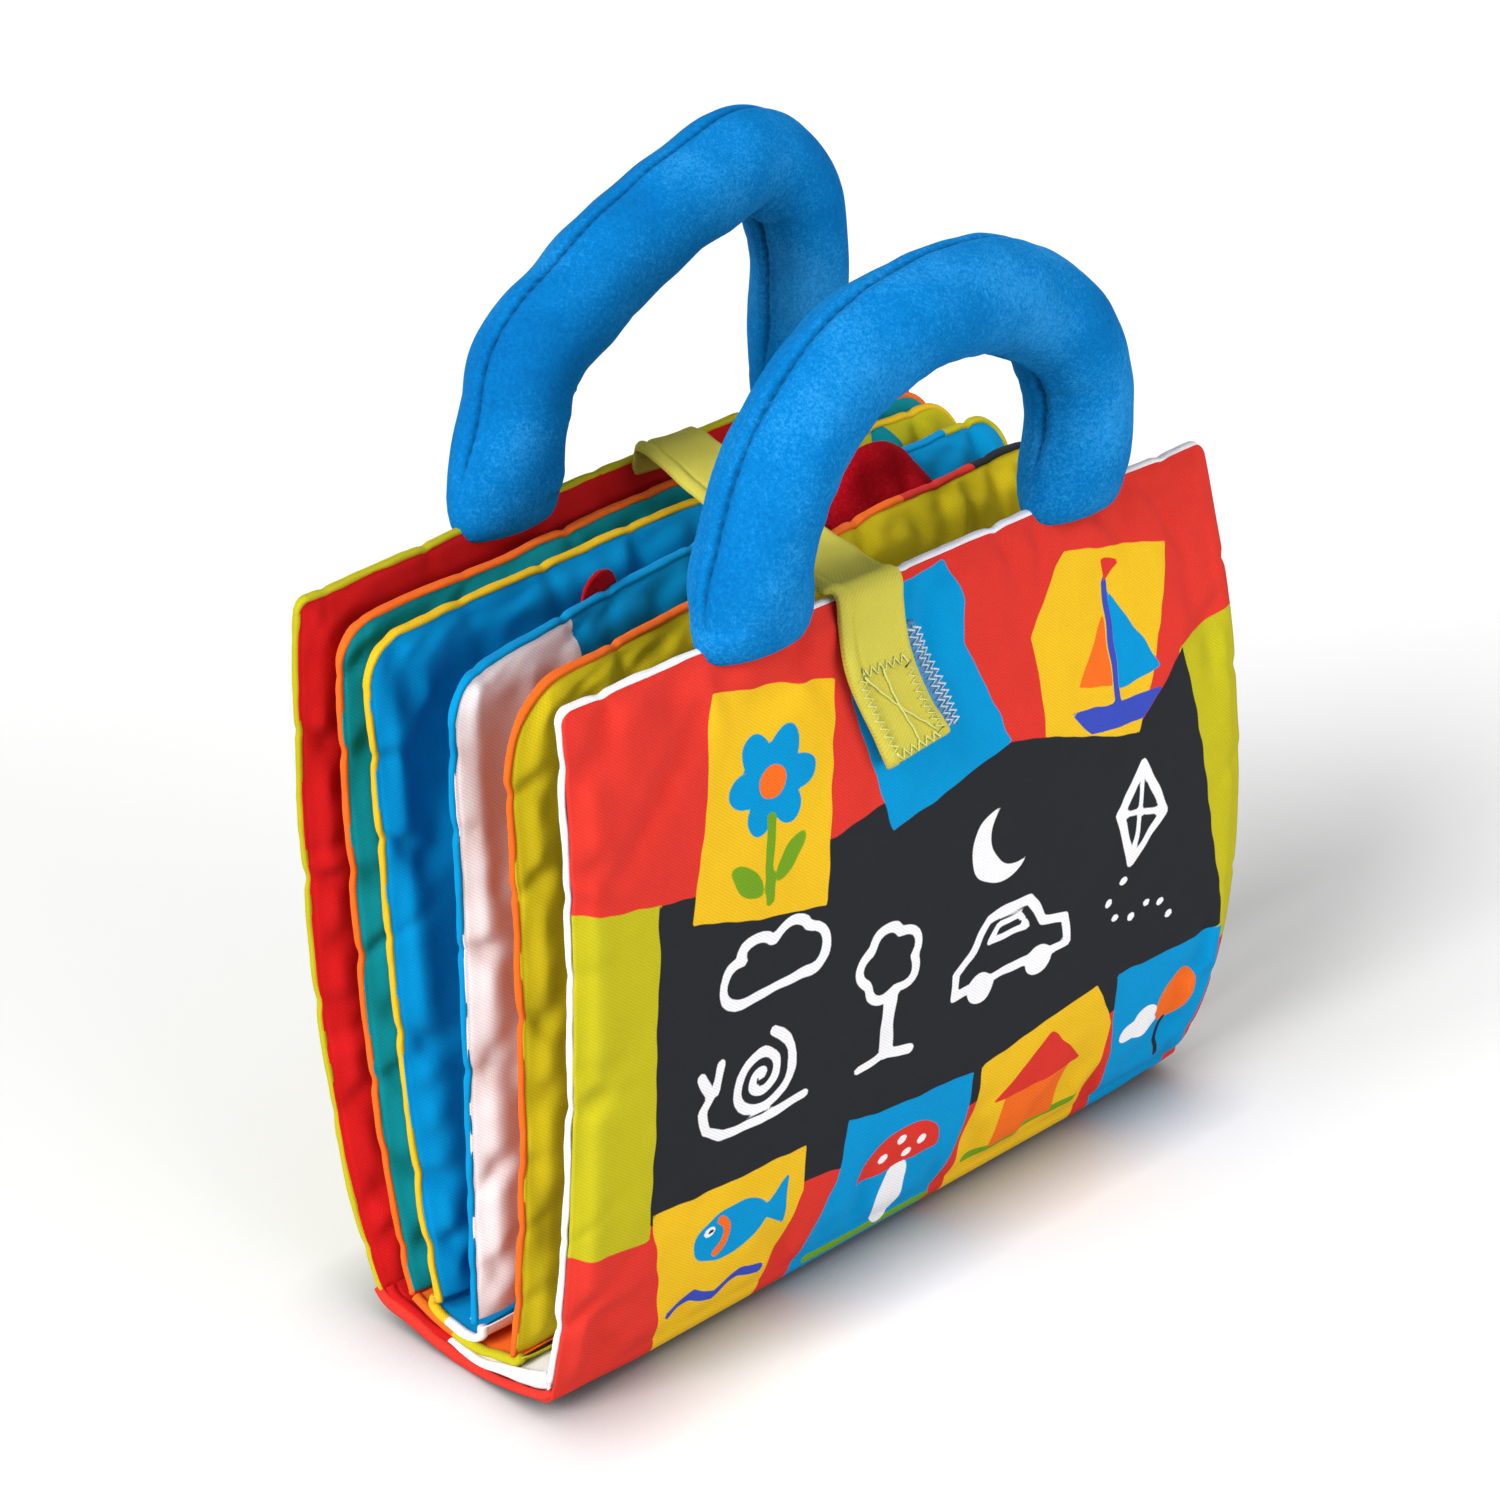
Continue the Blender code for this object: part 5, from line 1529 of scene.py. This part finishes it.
def make_spine_stitches():
    """White stitches in a row along the inner fold."""
    x = np.linspace(-119, 119, 60)
    line = np.stack([x, 7.05 + 0 * x, 7.95 + 0 * x], -1)
    up = np.tile((0.0, 0.0, 1.0), (len(x), 1))
    made = stitch_row("spine_stitch_row", line, up, white_thread, pitch=4.2, dash=2.8, radius=0.32)
    dress("spine", [made], ["spine_stitching"])


# The book

front_surface = make_front_cover()
# Page 1's warm lime holds a painted reflection of warm light from the cloths nearby.
make_page(
    PAGE_1, 41, (twills["warm lime"], twills["orange"], page_1_rim_cotton),
    PAGE_1_CREASES,
    rim_fields={"red_stretch": lambda x, h: 45 - x, "black_stretch": lambda x, h: 78 - x},
)
page_2_front, page_2_behind = make_page(
    PAGE_2, 51, (page_2_cotton, twills["sky blue"], page_2_rim_cotton),
    fields=lambda x, h: {"sky_stretch": -72 - x}, rim_fields={"lime_stretch": lambda x, h: 95 - x},
)
make_page(
    PAGE_3, 91, (page_3_cotton, twills["yellow"], twills["yellow"]),
    fields=lambda x, h: {"lime_stretch": 72 - x, "teal_blot": blob(x, h, 86, 170, 6, 8)},
)
make_page(
    PAGE_4, 121, (twills["teal"], twills["orange"], twills["orange"]),
)
back_surface = make_back_cover()
make_spine()
fold_band(
    "spine_lining_band", LINING_PROFILE, LINING_HALF_LENGTH, 0.8, (spine_lining_cotton,) * 3,
    ["white_cloth"] * 4, ["spine_lining"], 401, {"red_stretch": lambda y: 8 - y}, 1.1,
)
fold_band(
    "outer_fold", OUTER_FOLD_PROFILE, FOLD_HALF_LENGTH, 0.9,
    (twills["orange"], outer_fold_cotton, outer_fold_cotton), ["orange_cloth"] + ["lime_cloth"] * 3,
    ("outer_fold_outer_cloth", "outer_fold_inner_cloth"), 411, {"orange_stretch": lambda y: 8 - y},
)
fold_band(
    "inner_fold", INNER_FOLD_PROFILE, FOLD_HALF_LENGTH, 0.9,
    (twills["sky blue"], inner_fold_cotton, inner_fold_cotton), ["blue_cloth"] + ["yellow_cloth"] * 3,
    ("inner_fold_outer_cloth", "inner_fold_inner_cloth"), 421, {"yellow_stretch": lambda y: 11 - y},
)
make_spine_stitches()
handle_tube(FRONT_HANDLE)
handle_tube(BACK_HANDLE)
strap_line = strap_frame(front_surface, back_surface)
make_strap(*strap_line)
make_strap_stitching(*strap_line)
make_hook_tape(*strap_line)
make_loop_tape(front_surface)
make_velour_pad(page_2_front)
make_ribbon_tab(page_2_behind)


# Studio

# The camera: the point it looks at, how far it stands from there, and its azimuth, elevation
# and roll in degrees
CAMERA_TARGET = (-20.9, 0.2, 141.9)
CAMERA_FAR = 886.9
CAMERA_TURNS = (-45.22, 24.5, 0.156)
# The paper's white to the camera and to light that it throws back, its glow, and how strong the
# surround is as light
PAPER_SEEN = 0.98
PAPER_BOUNCE = 0.55
PAPER_GLOW = 0.03
AROUND_LIGHT = 0.37


def aim(thing, place, target):
    """A lamp or camera put at a place and turned so that it looks at the target."""
    back = (Vector(place) - Vector(target)).normalized()
    right = Vector((0, 0, 1)).cross(back).normalized()
    up = back.cross(right)
    turn = Matrix((right, up, back)).transposed().to_4x4()
    thing.matrix_world = Matrix.Translation(place) @ turn
    return thing


def broad_sun(name, place, strength, angle):
    """A sun as wide as a soft box, shining from a place towards the book."""
    data = bpy.data.lights.new(name, "SUN")
    data.energy = strength
    data.angle = math.radians(angle)
    lamp = bpy.data.objects.new(name, data)
    bpy.context.scene.collection.objects.link(lamp)
    return aim(lamp, place, (0, 0, 0.1))


def make_camera():
    """The photograph's own view, fitted to the book's corners: 81.6 mm on a 36 mm frame."""
    data = bpy.data.cameras.new("camera")
    data.sensor_width = 36
    data.lens = 81.6
    camera = bpy.data.objects.new("camera", data)
    bpy.context.scene.collection.objects.link(camera)
    azimuth, elevation, roll = (math.radians(turn) for turn in CAMERA_TURNS)
    level = math.cos(elevation)
    back = Vector((math.sin(azimuth) * level, -math.cos(azimuth) * level, math.sin(elevation)))
    target = Vector(CAMERA_TARGET) * MM
    aim(camera, target + back * CAMERA_FAR * MM, target)
    camera.matrix_world = camera.matrix_world @ Matrix.Rotation(roll, 4, "Z")
    bpy.context.scene.camera = camera


def make_floor():
    """A pale floor that the camera sees as white, painted darker close to the book by an occlusion
    node, a painted contact shade, and dark where the book's own shadow falls."""
    data = bpy.data.meshes.new("floor")
    data.from_pydata([(-3, -3, 0), (3, -3, 0), (3, 3, 0), (-3, 3, 0)], [], [(0, 1, 2, 3)])
    floor = bpy.data.objects.new("floor", data)
    bpy.context.scene.collection.objects.link(floor)
    paper, tree, shader = start_material("white studio paper")
    # Painted contact shade: the floor's colour darkens where the book hides its sky.
    contact_shade = add(tree, "AmbientOcclusion", {"samples": 8}, Distance=0.03).outputs["AO"]
    camera_ray = add(tree, "LightPath").outputs["Is Camera Ray"]
    seen = maths(tree, "MULTIPLY_ADD", camera_ray, PAPER_SEEN - PAPER_BOUNCE, PAPER_BOUNCE)
    white = maths(tree, "MULTIPLY", contact_shade, seen)
    tree.links.new(grey(tree, white), shader.inputs["Base Color"])
    set_inputs(shader, rough=0.9, specular=0.1, sheen=0.0)
    glow = add(tree, "Emission", None, Color=(1, 1, 1, 1), Strength=1.0)
    share = maths(tree, "MULTIPLY", camera_ray, PAPER_GLOW)
    mix = add(tree, "MixShader", None, i0=share, i1=shader.outputs[0], i2=glow.outputs[0])
    tree.links.new(mix.outputs[0], tree.nodes["Material Output"].inputs["Surface"])
    data.materials.append(paper)


def make_world():
    """A white surround at full strength for the camera and reflections, dimmer as light."""
    world = bpy.data.worlds.new("studio")
    bpy.context.scene.world = world
    world.use_nodes = True
    tree = world.node_tree
    surround = tree.nodes["Background"]
    surround.inputs["Color"].default_value = (1, 1, 1, 1)
    rays = add(tree, "LightPath").outputs
    looking = maths(tree, "MAXIMUM", rays["Is Camera Ray"], rays["Is Glossy Ray"])
    strength = maths(tree, "MULTIPLY_ADD", looking, 1 - AROUND_LIGHT, AROUND_LIGHT)
    tree.links.new(strength, surround.inputs["Strength"])


make_camera()
make_floor()
make_world()
broad_sun("key_light", place=(-1.0, -0.05, 0.72), strength=3.6, angle=32)
broad_sun("front_fill", place=(0.1, -1.0, 0.27), strength=2.1, angle=50)
bpy.context.scene.view_settings.view_transform = "Standard"
